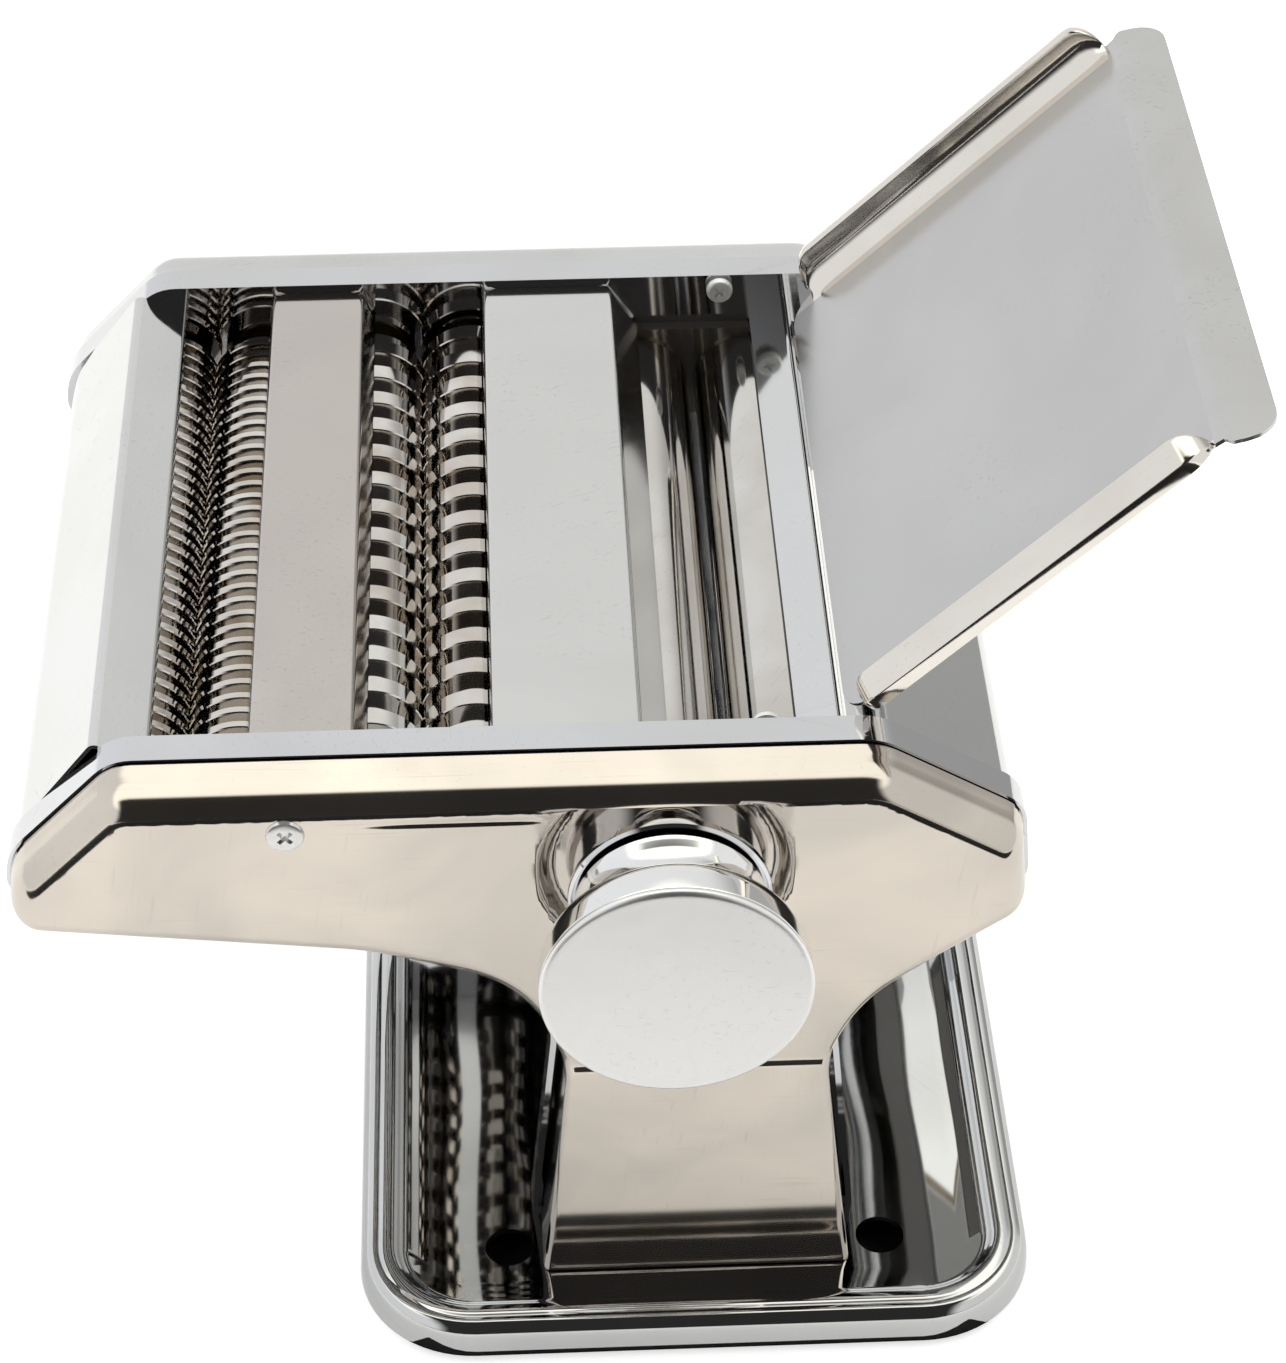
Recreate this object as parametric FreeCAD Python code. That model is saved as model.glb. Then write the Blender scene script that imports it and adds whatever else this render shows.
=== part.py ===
"""Manual pasta machine: two smooth rollers with a gap dial, a fine and a wide pair of cutters,
a feed tray and a pressed base, each piece a separate solid. Millimetres; +Z up, +X towards the
feed tray, -Y towards the dial. Everything is drawn about the middle of the base and saved with the
origin on the table, under the middle of the space that the whole machine takes up."""

import os

import FreeCAD
import Part
from math import atan, cos, hypot, pi, radians, sin, sqrt, tan

V = FreeCAD.Vector
AXIS_X = V(1, 0, 0)
AXIS_Y = V(0, 1, 0)
AXIS_Z = V(0, 0, 1)

# Driving dimensions
WORK = 150.0          # clear width between the two side plates
SHEET = 0.8           # thin pressed sheet of the strips, panels and tray
PLATE = 1.2           # side plates and base
TOP = 135.0           # top edge of the side plates
STRIP_TOP = 133.0     # top face of the two strips
PAN = 7.0             # depth of a side plate's rim
COVER = 0.9           # sheet of the drawn covers
FACE = 94.0           # distance of a cover's flat face from the middle
COVER_BEND = 5.0      # outer radius of a cover's edge
COVER_INSET = 0.7     # how much smaller a cover is than the side plate's rim

AXLE_Z = 109.0        # height of the smooth rollers' axes
FIXED_X = 20.0        # axis of the fixed roller
MOVING_X = -5.8       # axis of the adjustable roller
ROLLER_R = 12.1
ROLLER_SHAFT_R = 5.0
CLOSER = 1.25         # travel of the adjustable roller towards the fixed one
FURTHER = 1.25        # and away from it

CUTTER_Z = 114.5      # height of the cutters' axes
CUTTER_R = 11.2
CUTTER_CORE_R = 9.0
CUTTER_HALF = 10.6    # half the distance between the two axes of a pair
CUTTER_SHAFT_R = 4.0
FINE_X = -98.0        # where the fine cutters meet
WIDE_X = -52.3        # where the wide cutters meet
FINE_PITCH = 4.3
WIDE_PITCH = 9.6
RING_GAP = 0.1        # clearance on each side of a ring in its opposite groove

BASE_W = 139.0        # along X
BASE_L = 232.0        # along Y
BASE_CORNER = 24.0
BASE_TOP = 7.0        # flat face of the base
BASE_RIM_TOP = 9.4
BASE_RIM = 8.6        # width of the raised rim
BASE_SKIRT = 1.0      # lower edge of the skirt above the table
BASE_HOLE_R = 5.0
BASE_HOLE_X = 38.5
BASE_HOLE_Y = 92.0

DIAL_R = 25.5
DIAL_FACE = 122.0     # distance of the dial's face from the middle
DIAL_SHAFT_R = 4.0
DIAL_STEPS = 9
DIAL_STEP = 30.0      # degrees between two settings
PULL = 4.0            # travel of the dial when it is pulled to unlock it

RUN = 0.05            # radial clearance of a running fit
HALF = WORK / 2
WEB_OUT = HALF + PLATE
ORIGIN_SHIFT = V(13.5, 3.0, 0)    # from the middle of the base to the saved origin

os.makedirs("parts", exist_ok=True)


def save(name, solids):
    """Writes one node; several solids of like pieces go in one file."""
    solids = solids if isinstance(solids, list) else [solids]
    pieces = [s for shape in solids for s in shape.Solids]
    shape = pieces[0] if len(pieces) == 1 else Part.makeCompound(pieces)
    shape = shape.translated(ORIGIN_SHIFT)
    if not shape.isValid():
        print("not valid:", name)
    shape.exportStep(f"parts/{name}.step")
    print(f"{name}: {len(pieces)} solid(s), {shape.Volume:.0f} mm3")


def rounded(points, radii):
    """Closed wire in the XZ plane through the points, with a tangent arc of its own radius at each."""
    count = len(points)
    flat = [V(x, 0, z) for x, z in points]
    starts = []
    ends = []
    middles = []
    for i, corner in enumerate(flat):
        before = (flat[i - 1] - corner).normalize()
        after = (flat[(i + 1) % count] - corner).normalize()
        half_angle = before.getAngle(after) / 2
        radius = radii[i]
        if radius <= 0 or abs(half_angle - pi / 2) < 1e-4:
            starts.append(corner)
            ends.append(corner)
            middles.append(None)
            continue
        run = radius / tan(half_angle)
        inward = (before + after).normalize()
        centre = corner + inward * (radius / sin(half_angle))
        starts.append(corner + before * run)
        ends.append(corner + after * run)
        middles.append(centre - inward * radius)
    edges = []
    for i in range(count):
        if middles[i] is not None:
            edges.append(Part.Arc(starts[i], middles[i], ends[i]).toShape())
        following = starts[(i + 1) % count]
        if (ends[i] - following).Length > 1e-6:
            edges.append(Part.LineSegment(ends[i], following).toShape())
    return Part.Wire(edges)


def slab(wire, y0, y1):
    """Solid between two Y positions with the wire's outline."""
    face = Part.Face(wire)
    face.translate(V(0, min(y0, y1), 0))
    return face.extrude(V(0, abs(y1 - y0), 0))


def shrink(points, distance):
    """The outline's corners moved inwards by a distance; the points run clockwise seen from the front."""
    moved = []
    count = len(points)
    for i in range(count):
        x0, z0 = points[i - 1]
        x1, z1 = points[i]
        x2, z2 = points[(i + 1) % count]
        ax, az = (x1 - x0) / hypot(x1 - x0, z1 - z0), (z1 - z0) / hypot(x1 - x0, z1 - z0)
        bx, bz = (x2 - x1) / hypot(x2 - x1, z2 - z1), (z2 - z1) / hypot(x2 - x1, z2 - z1)
        turn = 1 + ax * bx + az * bz
        moved.append((x1 + distance * (az + bz) / turn, z1 - distance * (ax + bx) / turn))
    return moved


def ribbon(points, radii, thickness):
    """Closed outline of a bent sheet: the path is its upper or outer face, the sheet lies to its right."""
    inner = []
    inner_radii = []
    count = len(points)
    for i in range(count):
        x1, z1 = points[i]
        x0, z0 = points[max(i - 1, 0)]
        x2, z2 = points[min(i + 1, count - 1)]
        if i == 0:
            x0, z0 = 2 * x1 - x2, 2 * z1 - z2
        if i == count - 1:
            x2, z2 = 2 * x1 - x0, 2 * z1 - z0
        ax, az = (x1 - x0) / hypot(x1 - x0, z1 - z0), (z1 - z0) / hypot(x1 - x0, z1 - z0)
        bx, bz = (x2 - x1) / hypot(x2 - x1, z2 - z1), (z2 - z1) / hypot(x2 - x1, z2 - z1)
        turn = 1 + ax * bx + az * bz
        inner.append((x1 + thickness * (az + bz) / turn, z1 - thickness * (ax + bx) / turn))
        right_turn = ax * bz - az * bx < 0
        change = -thickness if right_turn else thickness
        inner_radii.append(max(radii[i] + change, 0.05) if radii[i] > 0 else 0)
    return rounded(points + inner[::-1], list(radii) + inner_radii[::-1])


def bent_sheet(points, radii, thickness=SHEET, y0=-HALF, y1=HALF):
    return slab(ribbon(points, radii, thickness), y0, y1)


def bar(x, z, radius, y0, y1):
    """Round bar along Y."""
    return Part.makeCylinder(radius, abs(y1 - y0), V(x, min(y0, y1), z), AXIS_Y)


def turned(profile, x, z):
    """Solid of revolution about the Y axis through (x, z); the profile is (radius, y) pairs."""
    points = [V(r, y, 0) for r, y in profile]
    face = Part.Face(Part.makePolygon(points + points[:1]))
    solid = face.revolve(V(0, 0, 0), AXIS_Y, 360)
    if solid.Volume < 0:
        solid.reverse()
    solid.translate(V(x, 0, z))
    return solid


def mirrored(shape):
    return shape.mirror(V(0, 0, 0), AXIS_Y)


def box(x0, x1, y0, y1, z0, z1):
    return Part.makeBox(x1 - x0, y1 - y0, z1 - z0, V(x0, y0, z0))


# Side plates: pressed pans whose rim points outwards, with a stem that stands on the base
OUTLINE = [
    (-110.3, TOP), (34.6, TOP), (63.2, 117.2), (64.9, 97.5), (56.0, 91.0), (33.0, 74.0),
    (28.6, 60.0), (33.6, BASE_TOP), (-33.6, BASE_TOP), (-28.6, 60.0), (-34.0, 80.5),
    (-64.0, 90.8), (-133.0, 99.4), (-131.6, 112.6),
]
OUTLINE_R = [10, 15, 8.5, 8, 16, 26, 20, 0, 0, 20, 24, 60, 7.5, 14]

CARRIAGE_HALF = 9.0
POST_X = -77.6
POST_Z = 125.4
POST_R = 2.4
COVER_SCREW_R = 1.3
TIE_RODS = [(-123.4, 106.6), (-75.1, 98.2), (-24.0, 103.5), (48.0, 104.0)]
TIE_R = 3.0
FOOT_SCREW_X = 16.0
FOOT_SCREW_Y = 85.0
FOOT_BOLT_R = 2.0
TRAY_SCREW = (13.5, 132.0)


def cutter_axes():
    """X of every cutter axis, with the name of its pair and side."""
    for pair, nip in (("fine", FINE_X), ("wide", WIDE_X)):
        for side, sign in (("left", -1), ("right", 1)):
            yield pair, side, nip + sign * CUTTER_HALF


def side_plate():
    """The rear plate, at positive Y."""
    outer = slab(rounded(OUTLINE, OUTLINE_R), HALF, HALF + PAN)
    hollow_r = [max(r - PLATE, 0) for r in OUTLINE_R]
    pan = outer.cut(slab(rounded(shrink(OUTLINE, PLATE), hollow_r), WEB_OUT, HALF + PAN + 1))
    foot = box(-25, 25, WEB_OUT - 0.1, FACE - 3, BASE_TOP, BASE_TOP + PLATE)
    pan = pan.fuse(foot)
    holes = [bar(x, CUTTER_Z, CUTTER_SHAFT_R + 3.0, HALF - 1, WEB_OUT + 1) for _, _, x in cutter_axes()]
    holes.append(bar(FIXED_X, AXLE_Z, ROLLER_SHAFT_R + 3.0, HALF - 1, WEB_OUT + 1))
    holes.append(box(MOVING_X - CARRIAGE_HALF - FURTHER, MOVING_X + CARRIAGE_HALF + CLOSER,
                     HALF - 1, WEB_OUT + 1, AXLE_Z - CARRIAGE_HALF, AXLE_Z + CARRIAGE_HALF))
    holes += [bar(x, z, TIE_R, HALF - 1, WEB_OUT + 1) for x, z in TIE_RODS]
    holes.append(bar(*TRAY_SCREW, 1.6, HALF - 1, WEB_OUT + 1))
    for sign in (-1, 1):
        foot_bolt = V(sign * FOOT_SCREW_X, FOOT_SCREW_Y, BASE_TOP - 2)
        holes.append(Part.makeCylinder(FOOT_BOLT_R, 6, foot_bolt, AXIS_Z))
    for hole in holes:
        pan = pan.cut(hole)
    return pan


rear_plate = side_plate()
save("rear_side_plate", rear_plate)
save("front_side_plate", mirrored(rear_plate))


# Covers: deep-drawn shells with a rounded edge; the stem's face leans out towards its foot
STEM_LEAN_Z = 62.0
STEM_BEND = 40.0      # radius of the crease where the stem starts to lean
FOOT_FACE = 99.0
COVER_BACK = HALF + PAN + 0.3
DIMPLE_X = -6.6
DIMPLE_Z = 113.5
DIMPLE_R = 24.5
DIMPLE_DEPTH = 4.0


def cover_block(inset, bend, face_back):
    """Filled cover shape: outline prism cut to the face's side profile, its front edge rounded."""
    points = shrink(OUTLINE, inset)
    points = [(x, max(z, BASE_TOP + 0.3)) if z < 20 else (x, z) for x, z in points]
    prism = slab(rounded(points, [max(r - inset, 0) for r in OUTLINE_R]), COVER_BACK, FOOT_FACE + 5)
    side = rounded([(50, -10), (50, 160), (FACE - face_back, 160), (FACE - face_back, STEM_LEAN_Z),
                    (FOOT_FACE - face_back + 0.6, -10)], [0, 0, 0, STEM_BEND, 0])
    keep = slab(side, -200, 200)
    keep.rotate(V(0, 0, 0), AXIS_Z, 90)
    block = prism.common(keep)
    front = []
    for face in block.Faces:
        normal = face.normalAt(0, 0)
        if normal.y > 0.9:
            front.append(face)
    edges = []
    for face in front:
        for edge in face.Edges:
            shared = any(edge.isSame(e) for other in front if not other.isSame(face) for e in other.Edges)
            if not shared and edge.BoundBox.ZMax > BASE_TOP + 1:
                edges.append(edge)
    try:
        return block.makeFillet(bend, edges)
    except Exception as problem:
        print("fillet failed:", problem)
        return block


def drawn_cover():
    """The plain cover at positive Y, before its holes."""
    outer = cover_block(COVER_INSET, COVER_BEND, 0)
    inner = cover_block(COVER_INSET + COVER, COVER_BEND - COVER, COVER)
    inner = inner.fuse(inner.translated(V(0, -1.0, 0)))
    under = box(-33.0, 33.0, COVER_BACK - 1, FOOT_FACE - 2.5, BASE_TOP - 1, BASE_TOP + 1.8)
    return outer.cut(inner).cut(under)


SOCKET_R = 6.2
plain_cover = drawn_cover()
rear_cover = plain_cover.copy()
CRANKED = [(FIXED_X, AXLE_Z), (FINE_X + CUTTER_HALF, CUTTER_Z), (WIDE_X + CUTTER_HALF, CUTTER_Z)]
for x, z in CRANKED:
    rear_cover = rear_cover.cut(bar(x, z, SOCKET_R + 0.8, COVER_BACK, FACE + 2))
rear_cover = rear_cover.cut(bar(POST_X, POST_Z, COVER_SCREW_R, COVER_BACK, FACE + 2))
save("rear_cover", rear_cover)

front_cover = mirrored(plain_cover)
dimple_out = bar(DIMPLE_X, DIMPLE_Z, DIMPLE_R, -FACE + DIMPLE_DEPTH, -FACE - 2)
dimple_out = dimple_out.common(box(-60, 60, -FACE - 3, -80, 80, TOP - 4.2))
dimple_in = bar(DIMPLE_X, DIMPLE_Z, DIMPLE_R + COVER, -FACE + DIMPLE_DEPTH + COVER, -FACE + 0.2)
dimple_in = dimple_in.common(box(-60, 60, -FACE - 3, -80, 80, TOP - 4.2 + COVER))
front_cover = front_cover.fuse(dimple_in.common(mirrored(cover_block(COVER_INSET + 0.1, COVER_BEND, 0))))
front_cover = front_cover.cut(dimple_out)
front_cover = front_cover.cut(bar(MOVING_X, AXLE_Z, DIAL_SHAFT_R + 4.0, -FACE - 2, -80))
front_cover = front_cover.cut(bar(POST_X, POST_Z, COVER_SCREW_R, -COVER_BACK, -FACE - 2))
front_cover = front_cover.cut(bar(POST_X, POST_Z, 4.5, -FACE + 0.5, -FACE - 2))
save("front_cover", front_cover.removeSplitter())


# Posts welded to the plates, and the pan-head screws that hold the covers to them
def pan_screw(x, z, seat_y, shank, head_r=3.8, head_h=2.2, shank_r=1.6):
    """Cross-head screw along Y, its head towards -Y from the seat."""
    head = turned([(0, seat_y), (head_r, seat_y), (head_r, seat_y - 0.6),
                   (head_r * 0.82, seat_y - head_h * 0.8), (head_r * 0.45, seat_y - head_h),
                   (0, seat_y - head_h)], x, z)
    screw = head.fuse(bar(x, z, shank_r, seat_y - 0.1, seat_y + shank))
    for turn in (45, 135):
        slot = box(x - head_r * 0.62, x + head_r * 0.62, seat_y - head_h - 0.5, seat_y - head_h + 1.2,
                   z - head_r * 0.13, z + head_r * 0.13)
        slot.rotate(V(x, 0, z), AXIS_Y, turn)
        screw = screw.cut(slot)
    return screw


post = bar(POST_X, POST_Z, POST_R, WEB_OUT, FACE - COVER)
post = post.cut(bar(POST_X, POST_Z, COVER_SCREW_R, FACE - 10, FACE))
save("cover_posts", [post, mirrored(post)])
front_screw = pan_screw(POST_X, POST_Z, -FACE + COVER * 0.55, 8.0, shank_r=COVER_SCREW_R)
rear_screw = mirrored(pan_screw(POST_X, POST_Z, -FACE, 8.0, shank_r=COVER_SCREW_R))
save("cover_screws", [front_screw, rear_screw])


# Base: a pressed tray with a raised, rounded rim, on four rubber feet
def plan_block(width, length, corner, z0, z1):
    block = box(-width / 2, width / 2, -length / 2, length / 2, z0, z1)
    upright = [e for e in block.Edges if abs(e.tangentAt(e.FirstParameter).z) > 0.9]
    return block.makeFillet(corner, upright)


def level_edges(shape, z):
    return [e for e in shape.Edges if abs(e.BoundBox.ZMin - z) < 1e-4 and abs(e.BoundBox.ZMax - z) < 1e-4]


def pressed_base():
    outer = plan_block(BASE_W, BASE_L, BASE_CORNER, BASE_SKIRT, BASE_RIM_TOP)
    outer = outer.makeFillet(4.2, level_edges(outer, BASE_RIM_TOP))
    floor_w = BASE_W - 2 * BASE_RIM
    floor_l = BASE_L - 2 * BASE_RIM
    well = plan_block(floor_w, floor_l, BASE_CORNER - BASE_RIM, BASE_TOP, BASE_RIM_TOP + 5)
    well = well.makeFillet(1.4, level_edges(well, BASE_TOP))
    under = plan_block(BASE_W - 2 * PLATE, BASE_L - 2 * PLATE, BASE_CORNER - PLATE, BASE_SKIRT - 1,
                       BASE_RIM_TOP - PLATE)
    under = under.makeFillet(3.0, level_edges(under, BASE_RIM_TOP - PLATE))
    boss = plan_block(floor_w + 2 * PLATE, floor_l + 2 * PLATE, BASE_CORNER - BASE_RIM + PLATE,
                      BASE_TOP - PLATE, BASE_RIM_TOP + 5)
    boss = boss.makeFillet(2.2, level_edges(boss, BASE_TOP - PLATE))
    base = outer.cut(well).cut(under.cut(boss))
    for sx in (-1, 1):
        for sy in (-1, 1):
            hole = V(sx * BASE_HOLE_X, sy * BASE_HOLE_Y, 0)
            bolt_hole = V(sx * FOOT_SCREW_X, sy * FOOT_SCREW_Y, 0)
            base = base.cut(Part.makeCylinder(BASE_HOLE_R, BASE_RIM_TOP, hole, AXIS_Z))
            base = base.cut(Part.makeCylinder(FOOT_BOLT_R, BASE_RIM_TOP, bolt_hole, AXIS_Z))
    return base


save("base_tray", pressed_base())

FOOT_X = 48.0
FOOT_Y = 101.0
feet = []
for sx in (-1, 1):
    for sy in (-1, 1):
        foot = Part.makeCone(8.5, 7.0, BASE_TOP - PLATE, V(sx * FOOT_X, sy * FOOT_Y, 0), AXIS_Z)
        feet.append(foot)
save("rubber_feet", feet)

FOOT_BOLT_LENGTH = 9.2
FOOT_NUT_R = 4.0      # over the corners, and the radius of the screw's head
FOOT_NUT_H = 3.2
FOOT_HEAD_H = 2.2
foot_screws = []
foot_nuts = []
for sx in (-1, 1):
    for sy in (-1, 1):
        x, y = sx * FOOT_SCREW_X, sy * FOOT_SCREW_Y
        under = BASE_TOP - PLATE
        head = Part.makeCylinder(FOOT_NUT_R, FOOT_HEAD_H, V(x, y, under - FOOT_HEAD_H), AXIS_Z)
        shank = Part.makeCylinder(FOOT_BOLT_R, FOOT_BOLT_LENGTH, V(x, y, under - 0.1), AXIS_Z)
        foot_screws.append(head.fuse(shank))
        corners = []
        for i in range(7):
            angle = radians(60 * i)
            corners.append(V(x + FOOT_NUT_R * cos(angle), y + FOOT_NUT_R * sin(angle), BASE_TOP + PLATE))
        nut = Part.Face(Part.makePolygon(corners)).extrude(V(0, 0, FOOT_NUT_H))
        foot_nuts.append(nut.cut(Part.makeCylinder(FOOT_BOLT_R, 6, V(x, y, BASE_TOP), AXIS_Z)))
save("foot_screws", foot_screws)
save("foot_nuts", foot_nuts)


# Tie rods: the shoulders hold the plates apart, and a nut draws each plate against them
ROD_SHOULDER = 1.2
ROD_END = 5.5         # how far a rod stands out of the plate
ROD_NUT_R = 4.6       # over the corners
ROD_NUT_H = 4.0
rods = []
nuts = []
for x, z in TIE_RODS:
    shoulder = bar(x, z, TIE_R + ROD_SHOULDER, -HALF, HALF)
    rods.append(shoulder.fuse(bar(x, z, TIE_R, -WEB_OUT - ROD_END, WEB_OUT + ROD_END)))
    for y in (WEB_OUT, -WEB_OUT - ROD_NUT_H):
        corners = []
        for i in range(7):
            angle = radians(60 * i)
            corners.append(V(x + ROD_NUT_R * cos(angle), y, z + ROD_NUT_R * sin(angle)))
        hexagon = Part.Face(Part.makePolygon(corners)).extrude(V(0, ROD_NUT_H, 0))
        nuts.append(hexagon.cut(bar(x, z, TIE_R, y - 1, y + ROD_NUT_H + 1)))
save("tie_rods", rods)
save("tie_rod_nuts", nuts)


# Sheet panels and strips between the side plates
LEFT_PANEL = [(-122.0, 100.6), (-131.2, 101.6), (-129.9, 113.2), (-114.2, STRIP_TOP + 0.4),
              (-103.8, 129.0), (-103.8, 127.4)]
save("left_end_panel", bent_sheet(LEFT_PANEL, [0, 4.5, 10, 1.8, 1.2, 0]))
save("narrow_strip", bent_sheet(
    [(-88.8, 126.8), (-84.4, STRIP_TOP), (-65.1, STRIP_TOP), (-60.8, 127.0)], [0, 1.3, 1.3, 0]))
save("wide_strip", bent_sheet(
    [(-43.8, 126.6), (-38.0, STRIP_TOP), (-10.6, STRIP_TOP), (-4.6, 123.6)], [0, 1.3, 1.3, 0]))
save("roller_guide", bent_sheet(
    [(20.4, 122.7), (28.3, 127.2), (29.4, 124.0)], [0, 0.9, 0]))
save("right_end_panel", bent_sheet(
    [(31.4, 128.2), (35.6, 131.4), (61.4, 115.8), (62.9, 98.6), (55.0, 93.2)], [0, 3.0, 6.0, 4.5, 0]))


# Smooth rollers on their shafts
ROLLER_END = HALF - 3.1


def roller(x):
    profile = [(ROLLER_SHAFT_R, -ROLLER_END), (ROLLER_R - 0.6, -ROLLER_END), (ROLLER_R, -ROLLER_END + 0.6),
               (ROLLER_R, ROLLER_END - 0.6), (ROLLER_R - 0.6, ROLLER_END), (ROLLER_SHAFT_R, ROLLER_END)]
    return turned(profile, x, AXLE_Z)


GEAR_Y0 = 80.5
GEAR_W = 6.0
SOCKET_OUT = FACE + 1.2
SOCKET_BORE_R = 4.0
SOCKET_DEPTH = 8.0


def socket_end(x, z):
    """Enlarged shaft end with a blind bore for the crank, and a cross slot for its pin."""
    end = bar(x, z, SOCKET_R, GEAR_Y0 + GEAR_W, SOCKET_OUT)
    end = end.cut(bar(x, z, SOCKET_BORE_R, SOCKET_OUT - SOCKET_DEPTH, SOCKET_OUT + 1))
    return end.cut(box(x - SOCKET_R - 1, x + SOCKET_R + 1, SOCKET_OUT - 2.0, SOCKET_OUT + 1, z - 1.2, z + 1.2))


save("fixed_roller", roller(FIXED_X))
fixed_shaft = bar(FIXED_X, AXLE_Z, ROLLER_SHAFT_R, -WEB_OUT - 3.5, GEAR_Y0 + GEAR_W)
save("fixed_roller_shaft", fixed_shaft.fuse(socket_end(FIXED_X, AXLE_Z)))
save("moving_roller", roller(MOVING_X))
save("moving_roller_shaft", bar(MOVING_X, AXLE_Z, ROLLER_SHAFT_R, -WEB_OUT - 1.0, GEAR_Y0 + GEAR_W + 2.0))


# Gears: involute teeth, cut a little thin so that the pair runs free
def gear(x, z, teeth, module, addendum, dedendum, bore, thin, phase):
    pitch_r = module * teeth / 2
    base_r = pitch_r * cos(radians(20))
    tip_r = pitch_r + addendum
    root_r = pitch_r - dedendum
    half_tooth = pi / (2 * teeth) - thin / (2 * pitch_r)
    involute = tan(radians(20)) - radians(20)
    flank = []
    for step in range(6):
        r = max(base_r, root_r) + (tip_r - max(base_r, root_r)) * step / 5
        roll = sqrt(max((r / base_r) ** 2 - 1, 0))
        flank.append((r, half_tooth + involute - (roll - atan(roll))))
    points = []
    for tooth in range(teeth):
        middle = 2 * pi * tooth / teeth + phase
        side = [(root_r, flank[0][1])] + flank
        for r, half in side:
            points.append((r, middle - half))
        for r, half in side[::-1]:
            points.append((r, middle + half))
    corners = [V(x + r * cos(a), GEAR_Y0, z + r * sin(a)) for r, a in points]
    face = Part.Face(Part.makePolygon(corners + corners[:1]))
    body = face.extrude(V(0, GEAR_W, 0))
    return body.cut(bar(x, z, bore, GEAR_Y0 - 1, GEAR_Y0 + GEAR_W + 1))


ROLLER_TEETH = 13
ROLLER_MODULE = (FIXED_X - MOVING_X - CLOSER) / ROLLER_TEETH
CUTTER_TEETH = 14
CUTTER_MODULE = 2 * CUTTER_HALF / CUTTER_TEETH
ROLLER_TOOTH = (1.9, 2.3)     # addendum and dedendum; long teeth stay in mesh over the whole travel
CUTTER_TOOTH = (1.3, 1.65)
# An odd count of teeth puts a tooth of one gear against a space of the other with no turn between them
for name, x in (("fixed", FIXED_X), ("moving", MOVING_X)):
    save(f"{name}_roller_gear", gear(x, AXLE_Z, ROLLER_TEETH, ROLLER_MODULE, *ROLLER_TOOTH,
                                     ROLLER_SHAFT_R, 0.3, 0))


# Cutters: rings of one run in the grooves of the other
def cutter(x, pitch, shifted):
    """Ringed roller; the shifted one of a pair has a ring where the other has a groove."""
    end = HALF - 2.6
    ring = pitch / 2 - 2 * RING_GAP
    count = int((2 * end - 2.0) / pitch)
    start = -count * pitch / 2 + (pitch / 4 if shifted else -pitch / 4)
    profile = [(CUTTER_SHAFT_R, -end), (CUTTER_CORE_R, -end)]
    for i in range(count + 1):
        middle = start + i * pitch
        y0 = middle - ring / 2
        y1 = middle + ring / 2
        if y0 < -end + 0.3 or y1 > end - 0.3:
            continue
        profile += [(CUTTER_CORE_R, y0), (CUTTER_R, y0), (CUTTER_R, y1), (CUTTER_CORE_R, y1)]
    profile += [(CUTTER_CORE_R, end), (CUTTER_SHAFT_R, end)]
    return turned(profile, x, CUTTER_Z)


def comb(x, pitch, shifted, sign):
    """Stripper under a cutter: a bar with a finger standing in each groove."""
    end = HALF - 2.6
    ring = pitch / 2 - 2 * RING_GAP
    count = int((2 * end - 2.0) / pitch)
    start = -count * pitch / 2 + (pitch / 4 if shifted else -pitch / 4)
    x0, x1 = sorted((x - sign * 1.0, x + sign * 8.5))
    strip = box(x0, x1, -HALF, HALF, CUTTER_Z - 13.6, CUTTER_Z - 12.2)
    centres = [start + (i + 0.5) * pitch for i in range(count)]
    width = pitch - ring - 0.8
    fingers = [box(x0, x1, y - width / 2, y + width / 2, CUTTER_Z - 12.4, CUTTER_Z - 6.0) for y in centres]
    comb_body = strip.multiFuse(fingers)
    return comb_body.cut(bar(x, CUTTER_Z, CUTTER_CORE_R + 0.35, -HALF + 1, HALF - 1))


for pair, side, x in cutter_axes():
    pitch = FINE_PITCH if pair == "fine" else WIDE_PITCH
    shifted = side == "right"
    save(f"{pair}_cutter_{side}", cutter(x, pitch, shifted))
    shaft = bar(x, CUTTER_Z, CUTTER_SHAFT_R, -WEB_OUT - 3.5, GEAR_Y0 + GEAR_W)
    if shifted:
        shaft = shaft.fuse(socket_end(x, CUTTER_Z))
    save(f"{pair}_shaft_{side}", shaft)
    phase = 0 if shifted else pi / CUTTER_TEETH
    save(f"{pair}_gear_{side}", gear(x, CUTTER_Z, CUTTER_TEETH, CUTTER_MODULE, *CUTTER_TOOTH,
                                     CUTTER_SHAFT_R, 0.25, phase))
    save(f"{pair}_comb_{side}", comb(x, pitch, shifted, 1 if shifted else -1))


# Bushes in the side plates
def bush(x, z, bore, sign):
    body = bar(x, z, bore + 3.0, sign * (HALF - 0.4), sign * (WEB_OUT + 2.6))
    flange = bar(x, z, bore + 4.4, sign * WEB_OUT, sign * (WEB_OUT + 1.2))
    return body.fuse(flange).cut(bar(x, z, bore + RUN, sign * (HALF - 2), sign * (WEB_OUT + 5)))


for name, sign in (("front_bushes", -1), ("rear_bushes", 1)):
    bushes = [bush(FIXED_X, AXLE_Z, ROLLER_SHAFT_R, sign)]
    bushes += [bush(x, CUTTER_Z, CUTTER_SHAFT_R, sign) for _, _, x in cutter_axes()]
    save(name, bushes)


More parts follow.
